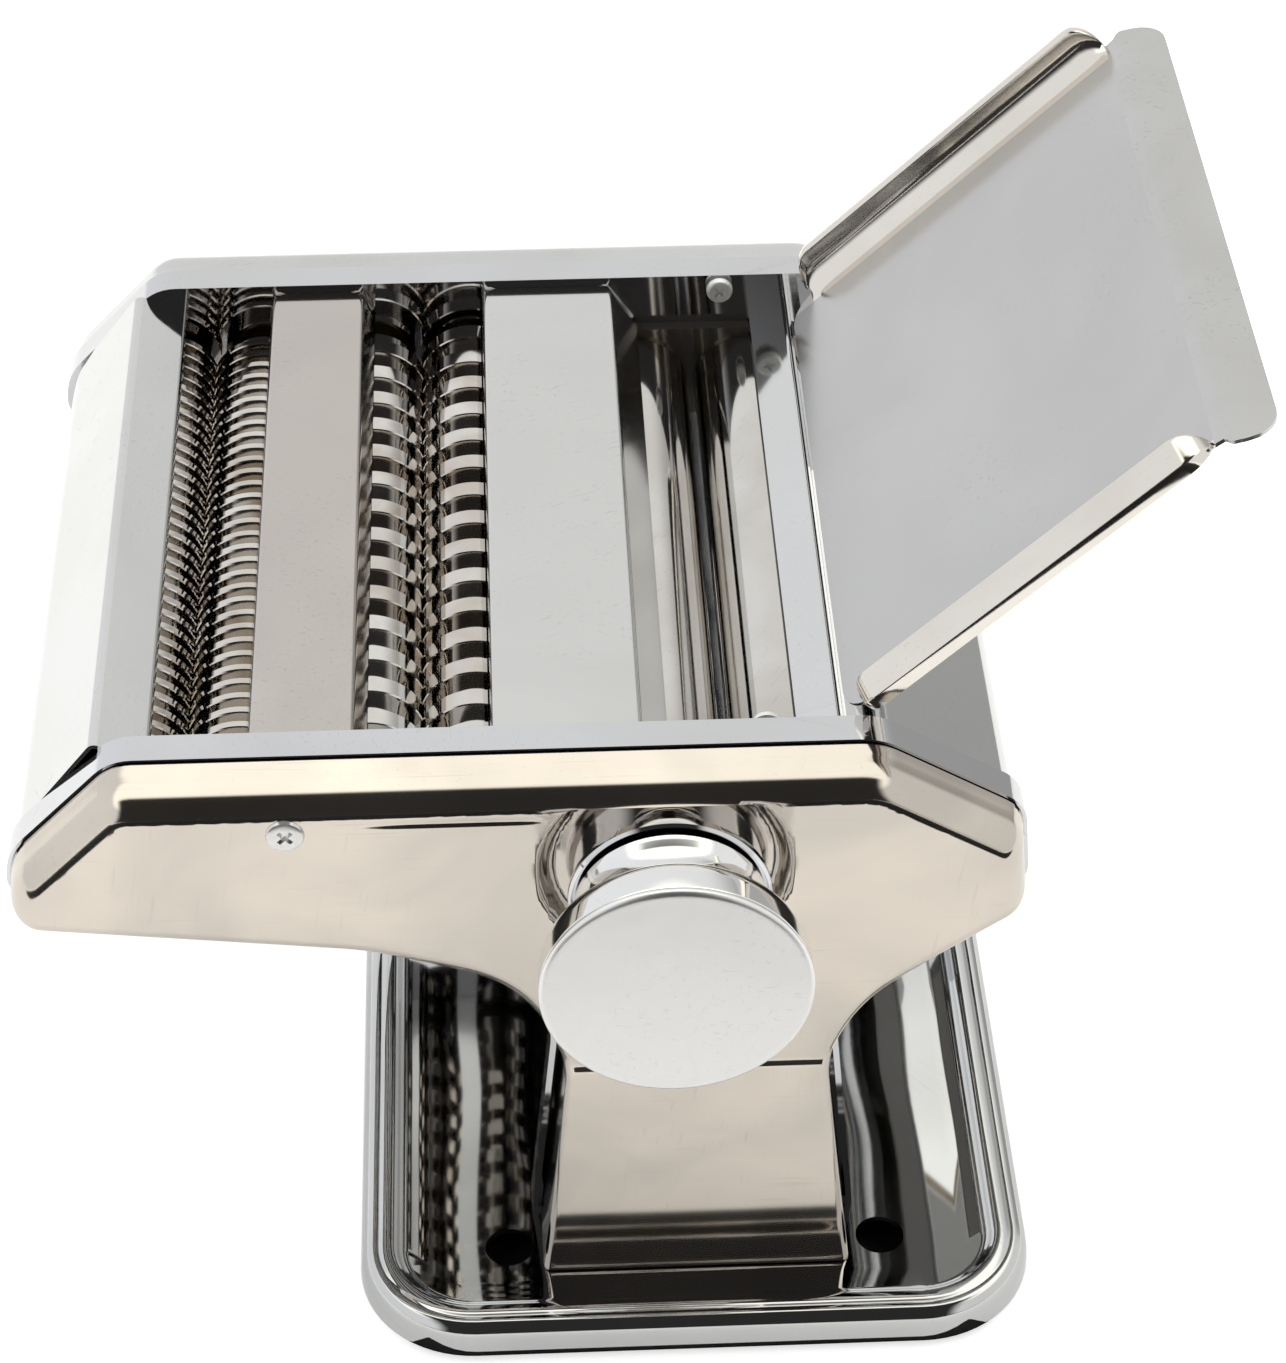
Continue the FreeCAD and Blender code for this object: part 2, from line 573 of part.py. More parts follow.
# Bearing blocks that carry the adjustable roller in windows of the side plates
BLOCK_CLEAR = 0.1
BLOCK_OUT = WEB_OUT + 2.9
CAM_Y = BLOCK_OUT + 0.4
CAM_W = 3.0
CAM_MIN_R = 8.0
dial_turn = radians(DIAL_STEP * (DIAL_STEPS - 1))
TRAVEL_PER_RADIAN = (CLOSER + FURTHER) / dial_turn
REST_RADIUS = CAM_MIN_R + FURTHER


def bearing_block(sign):
    half = CARRIAGE_HALF - BLOCK_CLEAR
    block = box(MOVING_X - half, MOVING_X + half, HALF + 0.2, WEB_OUT + 0.3, AXLE_Z - half, AXLE_Z + half)
    keeper = box(MOVING_X - half - 3, MOVING_X + half + 3, WEB_OUT + 0.3, BLOCK_OUT, AXLE_Z - half - 3,
                 AXLE_Z + half + 3)
    block = block.fuse(keeper).cut(bar(MOVING_X, AXLE_Z, ROLLER_SHAFT_R + RUN, HALF - 1, BLOCK_OUT + 1))
    return block if sign > 0 else mirrored(block)


def cam_follower():
    """Upright ear of the front block, on the side of the cam that faces the fixed roller."""
    x = MOVING_X + REST_RADIUS + 0.35
    return box(x, x + 2.4, -CAM_Y - CAM_W - 0.6, -BLOCK_OUT + 0.1, AXLE_Z - 7.5, AXLE_Z + 7.5)


save("front_bearing_block", bearing_block(-1).fuse(cam_follower()))
save("rear_bearing_block", bearing_block(1))


# Dial: cam disc and shaft, with a knob that slides on the shaft against a spring
def cam_disc():
    """Spiral cam whose radius towards +X grows as the dial turns forwards, about -Y."""
    before = CLOSER / TRAVEL_PER_RADIAN
    after = FURTHER / TRAVEL_PER_RADIAN
    lead = radians(25)
    points = []
    steps = 48
    for i in range(steps + 1):
        angle = -after - lead + (before + after + 2 * lead) * i / steps
        r = REST_RADIUS + TRAVEL_PER_RADIAN * min(max(angle, -after), before)
        points.append(V(MOVING_X + r * cos(angle), -CAM_Y - CAM_W, AXLE_Z - r * sin(angle)))
    curve = Part.BSplineCurve()
    curve.interpolate(points)
    wire = Part.Wire([curve.toShape(), Part.LineSegment(points[-1], points[0]).toShape()])
    return Part.Face(wire).extrude(V(0, CAM_W, 0))


DIMPLE_FLOOR = FACE - DIMPLE_DEPTH
SHAFT_HEAD = 118.0
KNOB_BACK = 98.0
cam = cam_disc().fuse(bar(MOVING_X, AXLE_Z, DIAL_SHAFT_R, -CAM_Y - 0.5, -SHAFT_HEAD))
cam = cam.fuse(bar(MOVING_X, AXLE_Z, DIAL_SHAFT_R + 2.6, -SHAFT_HEAD + 1.4, -SHAFT_HEAD))
save("cam_shaft", cam)

ring_r = 19.4
index_ring = turned([
    (DIAL_SHAFT_R + RUN, -COVER_BACK - 3.5), (DIAL_SHAFT_R + 3.7, -COVER_BACK - 3.5),
    (DIAL_SHAFT_R + 3.7, -DIMPLE_FLOOR), (ring_r - 1.2, -DIMPLE_FLOOR), (ring_r - 1.2, -94.6),
    (ring_r - 0.5, -94.6), (ring_r, -95.2), (ring_r, -96.6), (ring_r - 0.5, -97.2),
    (DIAL_SHAFT_R + RUN, -97.2)], MOVING_X, AXLE_Z)
PIN_TRACK_R = 13.5
track = turned([(PIN_TRACK_R - 1.5, -95.0), (PIN_TRACK_R + 1.5, -95.0), (PIN_TRACK_R + 1.5, -98.0),
                (PIN_TRACK_R - 1.5, -98.0)], MOVING_X, AXLE_Z)
index_ring = index_ring.cut(track)
for i in range(DIAL_STEPS):
    angle = radians(90 + DIAL_STEP * (i - DIAL_STEPS // 2))
    x = MOVING_X + PIN_TRACK_R * cos(angle)
    z = AXLE_Z + PIN_TRACK_R * sin(angle)
    index_ring = index_ring.cut(bar(x, z, 1.4, -93.0, -96.0))
save("index_ring", index_ring)

knob = turned([
    (DIAL_SHAFT_R + RUN, -KNOB_BACK), (17.6, -KNOB_BACK), (18.4, -KNOB_BACK - 0.8),
    (17.5, -KNOB_BACK - 2.6), (16.9, -KNOB_BACK - 5.0), (17.0, -KNOB_BACK - 7.4),
    (18.2, -KNOB_BACK - 10.0), (20.8, -KNOB_BACK - 12.4), (23.4, -KNOB_BACK - 13.9),
    (24.9, -KNOB_BACK - 15.8), (DIAL_R, -KNOB_BACK - 18.6), (DIAL_R, -DIAL_FACE + 1.6),
    (23.6, -DIAL_FACE + 1.6), (23.6, -DIAL_FACE + 5.0), (DIAL_SHAFT_R + 5.2, -DIAL_FACE + 5.0),
    (DIAL_SHAFT_R + 5.2, -KNOB_BACK - 5.0), (DIAL_SHAFT_R + RUN, -KNOB_BACK - 5.0)], MOVING_X, AXLE_Z)
pin_hole = bar(MOVING_X, AXLE_Z + PIN_TRACK_R, 1.2, -KNOB_BACK + 1, -KNOB_BACK - 6)
save("dial_knob", knob.cut(pin_hole))
save("locking_pin", bar(MOVING_X, AXLE_Z + PIN_TRACK_R, 1.2, -95.4, -KNOB_BACK - 6))
cap = turned([
    (0, -DIAL_FACE + 3.6), (23.4, -DIAL_FACE + 3.6), (23.6, -DIAL_FACE + 1.6), (DIAL_R, -DIAL_FACE + 1.6),
    (DIAL_R, -DIAL_FACE + 0.7), (25.1, -DIAL_FACE + 0.2), (24.4, -DIAL_FACE), (23.2, -DIAL_FACE + 0.1),
    (22.4, -DIAL_FACE + 0.4), (0, -DIAL_FACE + 0.4)], MOVING_X, AXLE_Z)
save("dial_cap", cap)


def coil_spring(radius, wire_r, y0, length, turns):
    helix = Part.makeHelix(length / turns, length, radius)
    start = V(radius, 0, 0)
    section = Part.Wire(Part.Circle(start, V(0, 1, 0.08), wire_r).toShape())
    coil = Part.Wire(helix).makePipeShell([section], True, True)
    coil.rotate(V(0, 0, 0), AXIS_X, 90)
    coil.translate(V(MOVING_X, y0, AXLE_Z))
    return coil


save("dial_spring", coil_spring(6.4, 0.6, -KNOB_BACK - PULL - 6.4, 8.0, 4))


# Plates that close the roller chamber at its two ends
def end_guard(sign):
    inner = HALF - 2.8
    outline = [(-19.0, 100.0), (-19.0, 122.9), (20.0, 122.9), (20.0, 120.4), (33.0, 120.4), (33.0, 100.0)]
    plate = slab(rounded(outline, [2, 2, 0, 0, 2, 2]), inner, HALF)
    window = bar(MOVING_X - FURTHER, AXLE_Z, ROLLER_SHAFT_R + 0.6, inner - 1, HALF + 1)
    window = window.fuse(bar(MOVING_X + CLOSER, AXLE_Z, ROLLER_SHAFT_R + 0.6, inner - 1, HALF + 1))
    window = window.fuse(box(MOVING_X - FURTHER, MOVING_X + CLOSER, inner - 1, HALF + 1,
                             AXLE_Z - ROLLER_SHAFT_R - 0.6, AXLE_Z + ROLLER_SHAFT_R + 0.6))
    plate = plate.cut(window).cut(bar(FIXED_X, AXLE_Z, ROLLER_SHAFT_R + 3.4, inner - 1, HALF + 1))
    return plate if sign > 0 else mirrored(plate)


save("front_end_guard", end_guard(-1))
save("rear_end_guard", end_guard(1))


# Scraper blades that stand under the smooth rollers
for name, x in (("moving", MOVING_X), ("fixed", FIXED_X)):
    tip = AXLE_Z - ROLLER_R - 0.35
    lean = 3.0 if name == "fixed" else -3.0
    save(f"{name}_roller_scraper", bent_sheet([(x + lean, tip - 9.0), (x, tip)], [0, 0], 0.8))


# Feed tray: plate with rolled side lips and an out-turned end flap, held by a tongue on each side
TRAY_SLOPE = 44.6
TRAY_FOOT = (29.2, 129.6)
TRAY_LENGTH = 94.0
FLAP_LENGTH = 9.6
FLAP_TURN = 31.0
LIP_START = 6.0


def on_slope(shape):
    """Places a shape drawn along +X, with its face up, onto the tray's slope."""
    shape.rotate(V(0, 0, 0), AXIS_Y, -TRAY_SLOPE)
    shape.translate(V(TRAY_FOOT[0], 0, TRAY_FOOT[1]))
    return shape


def across(points, radii, thickness, length, start):
    """Sheet whose section is drawn across the tray as (y, height) pairs, run along the slope."""
    strip = slab(ribbon(points, radii, thickness), 0, length)
    strip.rotate(V(0, 0, 0), AXIS_Z, -90)
    strip.mirror(V(0, 0, 0), AXIS_Y)
    strip.translate(V(start, 0, 0))
    return strip


def feed_tray():
    plate = box(0, TRAY_LENGTH, -69.0, 69.0, -SHEET, 0)
    corners = [e for e in plate.Edges if abs(e.tangentAt(e.FirstParameter).z) > 0.9
               and e.BoundBox.XMax < 1]
    plate = plate.makeFillet(7.0, corners)
    lip = across([(-66.0, 0), (-71.2, 0), (-72.0, 7.6), (-76.9, 7.6), (-76.9, 2.8)][::-1],
                 [0, 4.0, 2.3, 2.3, 0][::-1], SHEET, TRAY_LENGTH - 5.5 - LIP_START, LIP_START)
    other = lip.mirror(V(0, 0, 0), AXIS_Y)
    flap = box(0, FLAP_LENGTH, -72.6, 72.6, -SHEET, 0)
    corners = [e for e in flap.Edges if abs(e.tangentAt(e.FirstParameter).z) > 0.9 and e.BoundBox.XMin > 1]
    flap = flap.makeFillet(6.5, corners)
    flap.rotate(V(0, 0, 0), AXIS_Y, FLAP_TURN)
    flap.translate(V(TRAY_LENGTH - 0.3, 0, 0))
    tray = on_slope(plate.multiFuse([lip, other, flap]))
    for sign in (-1, 1):
        y0, y1 = sorted((sign * (HALF - 0.15), sign * (HALF - 0.15 - SHEET)))
        tongue = slab(rounded([(7.8, 126.3), (7.8, 137.7), (25.6, 137.9), (33.4, 144.1), (37.6, 140.6),
                               (31.0, 133.5), (19.5, 126.3)], [5.6, 5.6, 6, 0, 3, 6, 5.6]), y0, y1)
        tongue = tongue.cut(bar(*TRAY_SCREW, 1.7, y0 - 1, y1 + 1))
        tray = tray.fuse(tongue)
    return tray


save("feed_tray", feed_tray().removeSplitter())
tray_screw = pan_screw(*TRAY_SCREW, HALF - 0.15 - SHEET, 4.0, 2.7, 1.7, 1.5)
save("tray_screws", [tray_screw, mirrored(tray_screw)])
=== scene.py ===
"""The pasta machine's finished look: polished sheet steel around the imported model's bodies."""

from math import ceil, cos, hypot, pi, radians, sin, sqrt, tan

import bmesh
import bpy
from mathutils import Matrix, Vector, noise


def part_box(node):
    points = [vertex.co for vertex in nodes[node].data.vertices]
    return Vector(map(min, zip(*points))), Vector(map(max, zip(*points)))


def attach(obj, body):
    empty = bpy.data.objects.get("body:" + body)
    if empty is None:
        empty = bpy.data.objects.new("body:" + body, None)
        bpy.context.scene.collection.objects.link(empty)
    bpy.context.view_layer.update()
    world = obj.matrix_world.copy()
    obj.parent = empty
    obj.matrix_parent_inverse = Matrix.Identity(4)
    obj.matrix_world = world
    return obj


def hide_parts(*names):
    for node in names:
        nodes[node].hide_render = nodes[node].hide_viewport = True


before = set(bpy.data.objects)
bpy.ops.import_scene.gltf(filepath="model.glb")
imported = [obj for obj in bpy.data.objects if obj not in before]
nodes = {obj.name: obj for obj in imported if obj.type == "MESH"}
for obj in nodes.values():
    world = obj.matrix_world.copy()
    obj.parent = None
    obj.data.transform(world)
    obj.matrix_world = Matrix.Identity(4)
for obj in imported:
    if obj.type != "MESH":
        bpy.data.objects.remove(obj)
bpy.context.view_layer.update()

scene = bpy.context.scene

# The middle of the base on the table is where every size below is measured from, in millimetres:
# +X towards the feed tray, -Y towards the dial, +Z up.
base_low, base_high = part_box("base_tray")
MIDDLE_X = (base_low.x + base_high.x) / 2
MIDDLE_Y = (base_low.y + base_high.y) / 2
MM = 0.001


def place(x, y, z):
    return Vector((MIDDLE_X + x * MM, MIDDLE_Y + y * MM, z * MM))


# Studio. A plain pale table, a white wall behind and to the left, a large soft light overhead and
# behind, and an unlit room in front of the table, which polished steel shows as its dark bands.
FLOOR_HALF = 6.0
FLOOR_GLOW = 0.34        # what the steel sees of the lit table
FLOOR_GLOW_SEEN = 0.66   # what the eye sees: white, with hardly any shadow
UNLIT_HALF_X = 1.2
UNLIT_FROM_Y = -300.0    # the lit table ends here, as seen in the steel
SHADE_HALF_X = 60.0      # the strip of table in the machine's own shade, just ahead of its skirt
SHADE_BACK = 112.0
SHADE_FRONT = -118.4
SHADOW_UNDER_HALF = (58.0, 104.0)
CARD_HEIGHTS = {"under": 0.0003, "shade": 0.0004, "unlit": 0.0006}
WALL_LEFT = (0.92, 0.93, 0.95)
WALL_RIGHT = (0.90, 0.90, 0.89)
WALL_LOW_RIGHT = (0.44, 0.44, 0.43)
LIGHT_ABOVE = (1.62, 1.60, 1.50)
DARK_ROOM = (0.034, 0.033, 0.033)
WALL_SEEN = (1.0, 1.0, 1.0)
LAMP_WATTS = 6.0
LAMP_SIZE = (1.6, 1.0)
LAMP_AT = (0.0, 0.75, 1.35)
LAMP_TILT = -29.0
CAMERA_AT = (-33.7, -605.0, 590.0)
CAMERA_SENSOR = 36.0
CAMERA_NEAR = 0.01
LOOK_DOWN = 40.0
LOOK_RIGHT = 2.56
LENS = 97.67


def flat_panel(name, low, high, z):
    mesh = bpy.data.meshes.new(name)
    corners = [(low[0], low[1], z), (high[0], low[1], z), (high[0], high[1], z), (low[0], high[1], z)]
    mesh.from_pydata(corners, [], [(0, 1, 2, 3)])
    panel = bpy.data.objects.new(name, mesh)
    scene.collection.objects.link(panel)
    return panel


def plain_material(name, base, roughness, glow=0.0):
    material = bpy.data.materials.new(name)
    material.use_nodes = True
    shader = material.node_tree.nodes["Principled BSDF"]
    shader.inputs["Base Color"].default_value = (*base, 1)
    shader.inputs["Roughness"].default_value = roughness
    shader.inputs["Emission Color"].default_value = (1, 1, 1, 1)
    shader.inputs["Emission Strength"].default_value = glow
    return material


floor = flat_panel("floor", (-FLOOR_HALF, -FLOOR_HALF), (FLOOR_HALF, FLOOR_HALF), 0.0)
table = plain_material("pale_table", (0.86, 0.86, 0.86), 0.9)
seen_directly = table.node_tree.nodes.new("ShaderNodeLightPath")
glow = table.node_tree.nodes.new("ShaderNodeMapRange")
glow.inputs["To Min"].default_value = FLOOR_GLOW
glow.inputs["To Max"].default_value = FLOOR_GLOW_SEEN
table.node_tree.links.new(seen_directly.outputs["Is Camera Ray"], glow.inputs["Value"])
table_shader = table.node_tree.nodes["Principled BSDF"]
table.node_tree.links.new(glow.outputs[0], table_shader.inputs["Emission Strength"])
floor.data.materials.append(table)
unlit = flat_panel("unlit_floor", (-UNLIT_HALF_X, -FLOOR_HALF),
                   (UNLIT_HALF_X, MIDDLE_Y + UNLIT_FROM_Y * MM), CARD_HEIGHTS["unlit"])
unlit.data.materials.append(plain_material("unlit_ground", (0.0, 0.0, 0.0), 1.0))
shade = flat_panel("shaded_table", (MIDDLE_X - SHADE_HALF_X * MM, MIDDLE_Y + SHADE_FRONT * MM),
                   (MIDDLE_X + SHADE_HALF_X * MM, MIDDLE_Y + SHADE_BACK * MM), CARD_HEIGHTS["shade"])
shade.data.materials.append(plain_material("shaded_ground", (0.02, 0.02, 0.02), 1.0))
for card in (unlit, shade):
    card.visible_camera = False
    card.visible_diffuse = False
    card.visible_shadow = False
# A black card lying just above the table under the base, seen only through the base's holes: painted shadow
# under the base.
under = flat_panel("table_under_base", (MIDDLE_X - SHADOW_UNDER_HALF[0] * MM, MIDDLE_Y - SHADOW_UNDER_HALF[1] * MM),
                   (MIDDLE_X + SHADOW_UNDER_HALF[0] * MM, MIDDLE_Y + SHADOW_UNDER_HALF[1] * MM), CARD_HEIGHTS["under"])
under.data.materials.append(plain_material("dark_under_base", (0.012, 0.012, 0.012), 1.0))


def studio_world():
    """The room as a mirror sees it, by direction: walls, light above, dark front; the eye sees white."""
    world = bpy.data.worlds.new("studio")
    scene.world = world
    world.use_nodes = True
    tree = world.node_tree
    tree.nodes.clear()
    output = tree.nodes.new("ShaderNodeOutputWorld")
    background = tree.nodes.new("ShaderNodeBackground")
    where = tree.nodes.new("ShaderNodeTexCoord")
    axes = tree.nodes.new("ShaderNodeSeparateXYZ")
    tree.links.new(where.outputs["Generated"], axes.inputs[0])

    def ramp(source, low, high):
        node = tree.nodes.new("ShaderNodeMapRange")
        node.interpolation_type = "SMOOTHSTEP"
        node.inputs["From Min"].default_value = low
        node.inputs["From Max"].default_value = high
        tree.links.new(source, node.inputs["Value"])
        return node.outputs["Result"]

    def combine(operation, first, second):
        node = tree.nodes.new("ShaderNodeMath")
        node.operation = operation
        for socket, value in zip(node.inputs, (first, second)):
            if isinstance(value, float):
                socket.default_value = value
            else:
                tree.links.new(value, socket)
        return node.outputs[0]

    def blend_colours(share, first, second):
        node = tree.nodes.new("ShaderNodeMix")
        node.data_type = "RGBA"
        tree.links.new(share, node.inputs["Factor"])
        for socket, value in zip((node.inputs[6], node.inputs[7]), (first, second)):
            if isinstance(value, tuple):
                socket.default_value = (*value, 1)
            else:
                tree.links.new(value, socket)
        return node.outputs[2]

    x, y, z = (axes.outputs[name] for name in ("X", "Y", "Z"))
    room = blend_colours(ramp(x, -0.7, 0.1), WALL_LEFT, WALL_RIGHT)
    low_right = combine("MULTIPLY", ramp(x, 0.22, 0.62), ramp(z, 0.75, 0.35))
    low_right = combine("MULTIPLY", low_right, ramp(y, 0.48, 0.66))
    room = blend_colours(low_right, room, WALL_LOW_RIGHT)
    room = blend_colours(ramp(z, 0.66, 0.80), room, LIGHT_ABOVE)
    not_aside = combine("SUBTRACT", 1.0, ramp(combine("ABSOLUTE", x, 0.0), 0.40, 0.62))
    in_front = combine("MULTIPLY", ramp(y, 0.05, -0.10), not_aside)
    room = blend_colours(in_front, room, DARK_ROOM)
    path = tree.nodes.new("ShaderNodeLightPath")
    seen = blend_colours(path.outputs["Is Camera Ray"], room, WALL_SEEN)
    tree.links.new(seen, background.inputs["Color"])
    tree.links.new(background.outputs[0], output.inputs["Surface"])


studio_world()
scene.view_settings.view_transform = "Standard"

lamp = bpy.data.lights.new("overhead_light", "AREA")
lamp.shape = "RECTANGLE"
lamp.size = LAMP_SIZE[0]
lamp.size_y = LAMP_SIZE[1]
lamp.energy = LAMP_WATTS
lamp_object = bpy.data.objects.new("overhead_light", lamp)
lamp_object.location = LAMP_AT
lamp_object.rotation_euler = (radians(LAMP_TILT), 0, 0)
lamp_object.visible_glossy = False
scene.collection.objects.link(lamp_object)

camera = bpy.data.cameras.new("camera")
camera.sensor_width = CAMERA_SENSOR
camera.lens = LENS
camera.clip_start = CAMERA_NEAR
camera_object = bpy.data.objects.new("camera", camera)
camera_object.location = place(*CAMERA_AT)
camera_object.rotation_euler = (radians(90 - LOOK_DOWN), 0, radians(-LOOK_RIGHT))
scene.collection.objects.link(camera_object)
scene.camera = camera_object


# Base: a tray pressed from 1.2 mm polished sheet. Its floor is a little wavy, its rim is rolled up in
# two soft beads with a fine groove between them, and its skirt stands just off the table.
def new_group(name, inputs, outputs):
    group = bpy.data.node_groups.new(name, "ShaderNodeTree")
    for label, kind, value in inputs:
        socket = group.interface.new_socket(label, in_out="INPUT", socket_type=kind)
        socket.default_value = value
    for label, kind in outputs:
        group.interface.new_socket(label, in_out="OUTPUT", socket_type=kind)
    return group, group.nodes.new("NodeGroupInput"), group.nodes.new("NodeGroupOutput")


def group_math(group, operation, first, second=0.0, third=0.0):
    node = group.nodes.new("ShaderNodeMath")
    node.operation = operation
    for socket, value in zip(node.inputs, (first, second, third)):
        if isinstance(value, (int, float)):
            socket.default_value = value
        else:
            group.links.new(value, socket)
    return node.outputs[0]


def scratch_group():
    """Hairlines: two crossed fields of long thin cells, thinned out by a cloud."""
    group, given, result = new_group(
        "hairline_scratches",
        [("Amount", "NodeSocketFloat", 0.5), ("Turn", "NodeSocketFloat", 0.4),
         ("Scale", "NodeSocketFloat", 1.0)],
        [("Lines", "NodeSocketFloat")])
    where = group.nodes.new("ShaderNodeTexCoord")
    fields = []
    for extra_turn, stretch in ((0.0, 34.0), (1.15, 26.0)):
        turned = group.nodes.new("ShaderNodeVectorRotate")
        turned.rotation_type = "EULER_XYZ"
        angles = group.nodes.new("ShaderNodeCombineXYZ")
        turn = group_math(group, "ADD", given.outputs["Turn"], extra_turn)
        for axis in ("X", "Y", "Z"):
            group.links.new(turn, angles.inputs[axis])
        group.links.new(where.outputs["Object"], turned.inputs["Vector"])
        group.links.new(angles.outputs[0], turned.inputs["Rotation"])
        scaled = group.nodes.new("ShaderNodeMapping")
        scaled.inputs["Scale"].default_value = (1.0, stretch, stretch)
        group.links.new(turned.outputs[0], scaled.inputs["Vector"])
        noise = group.nodes.new("ShaderNodeTexNoise")
        noise.inputs["Detail"].default_value = 1.0
        group.links.new(group_math(group, "MULTIPLY", given.outputs["Scale"], 46.0), noise.inputs["Scale"])
        group.links.new(scaled.outputs[0], noise.inputs["Vector"])
        line = group.nodes.new("ShaderNodeMapRange")
        line.inputs["From Min"].default_value = 0.665
        line.inputs["From Max"].default_value = 0.74
        group.links.new(noise.outputs[0], line.inputs["Value"])
        fields.append(line.outputs[0])
    cloud = group.nodes.new("ShaderNodeTexNoise")
    cloud.inputs["Scale"].default_value = 28.0
    group.links.new(where.outputs["Object"], cloud.inputs["Vector"])
    patch = group.nodes.new("ShaderNodeMapRange")
    patch.inputs["From Min"].default_value = 0.42
    patch.inputs["From Max"].default_value = 0.62
    group.links.new(cloud.outputs[0], patch.inputs["Value"])
    both = group_math(group, "MAXIMUM", fields[0], fields[1])
    lines = group_math(group, "MULTIPLY", both, patch.outputs[0])
    group.links.new(group_math(group, "MULTIPLY", lines, given.outputs["Amount"]), result.inputs["Lines"])
    return group


def smear_group():
    """Cloudy patches left by wiping, at a coarse and a finer scale; also the sheet's own waviness."""
    group, given, result = new_group(
        "smears", [("Scale", "NodeSocketFloat", 20.0)],
        [("Cloud", "NodeSocketFloat"), ("Waves", "NodeSocketFloat")])
    where = group.nodes.new("ShaderNodeTexCoord")
    coarse = group.nodes.new("ShaderNodeTexNoise")
    coarse.inputs["Detail"].default_value = 3.0
    coarse.inputs["Distortion"].default_value = 0.8
    waves = group.nodes.new("ShaderNodeTexNoise")
    waves.inputs["Detail"].default_value = 0.0
    group.links.new(where.outputs["Object"], coarse.inputs["Vector"])
    group.links.new(where.outputs["Object"], waves.inputs["Vector"])
    group.links.new(given.outputs["Scale"], coarse.inputs["Scale"])
    group.links.new(group_math(group, "MULTIPLY", given.outputs["Scale"], 0.9), waves.inputs["Scale"])
    group.links.new(coarse.outputs[0], result.inputs["Cloud"])
    group.links.new(waves.outputs[0], result.inputs["Waves"])
    return group


def grain_group():
    """Fine straight grain along one axis."""
    group, given, result = new_group(
        "grain", [("Along", "NodeSocketVector", (1.0, 0.02, 1.0)), ("Scale", "NodeSocketFloat", 3000.0)],
        [("Grain", "NodeSocketFloat")])
    where = group.nodes.new("ShaderNodeTexCoord")
    stretched = group.nodes.new("ShaderNodeVectorMath")
    stretched.operation = "MULTIPLY"
    group.links.new(where.outputs["Object"], stretched.inputs[0])
    group.links.new(given.outputs["Along"], stretched.inputs[1])
    noise = group.nodes.new("ShaderNodeTexNoise")
    noise.inputs["Detail"].default_value = 2.0
    group.links.new(given.outputs["Scale"], noise.inputs["Scale"])
    group.links.new(stretched.outputs[0], noise.inputs["Vector"])
    group.links.new(noise.outputs[0], result.inputs["Grain"])
    return group


SCRATCHES = scratch_group()
SCRATCH_TINT = (0.72, 0.71, 0.70)
SMEARS = smear_group()
GRAIN = grain_group()
GRAIN_DEPTH = 0.01


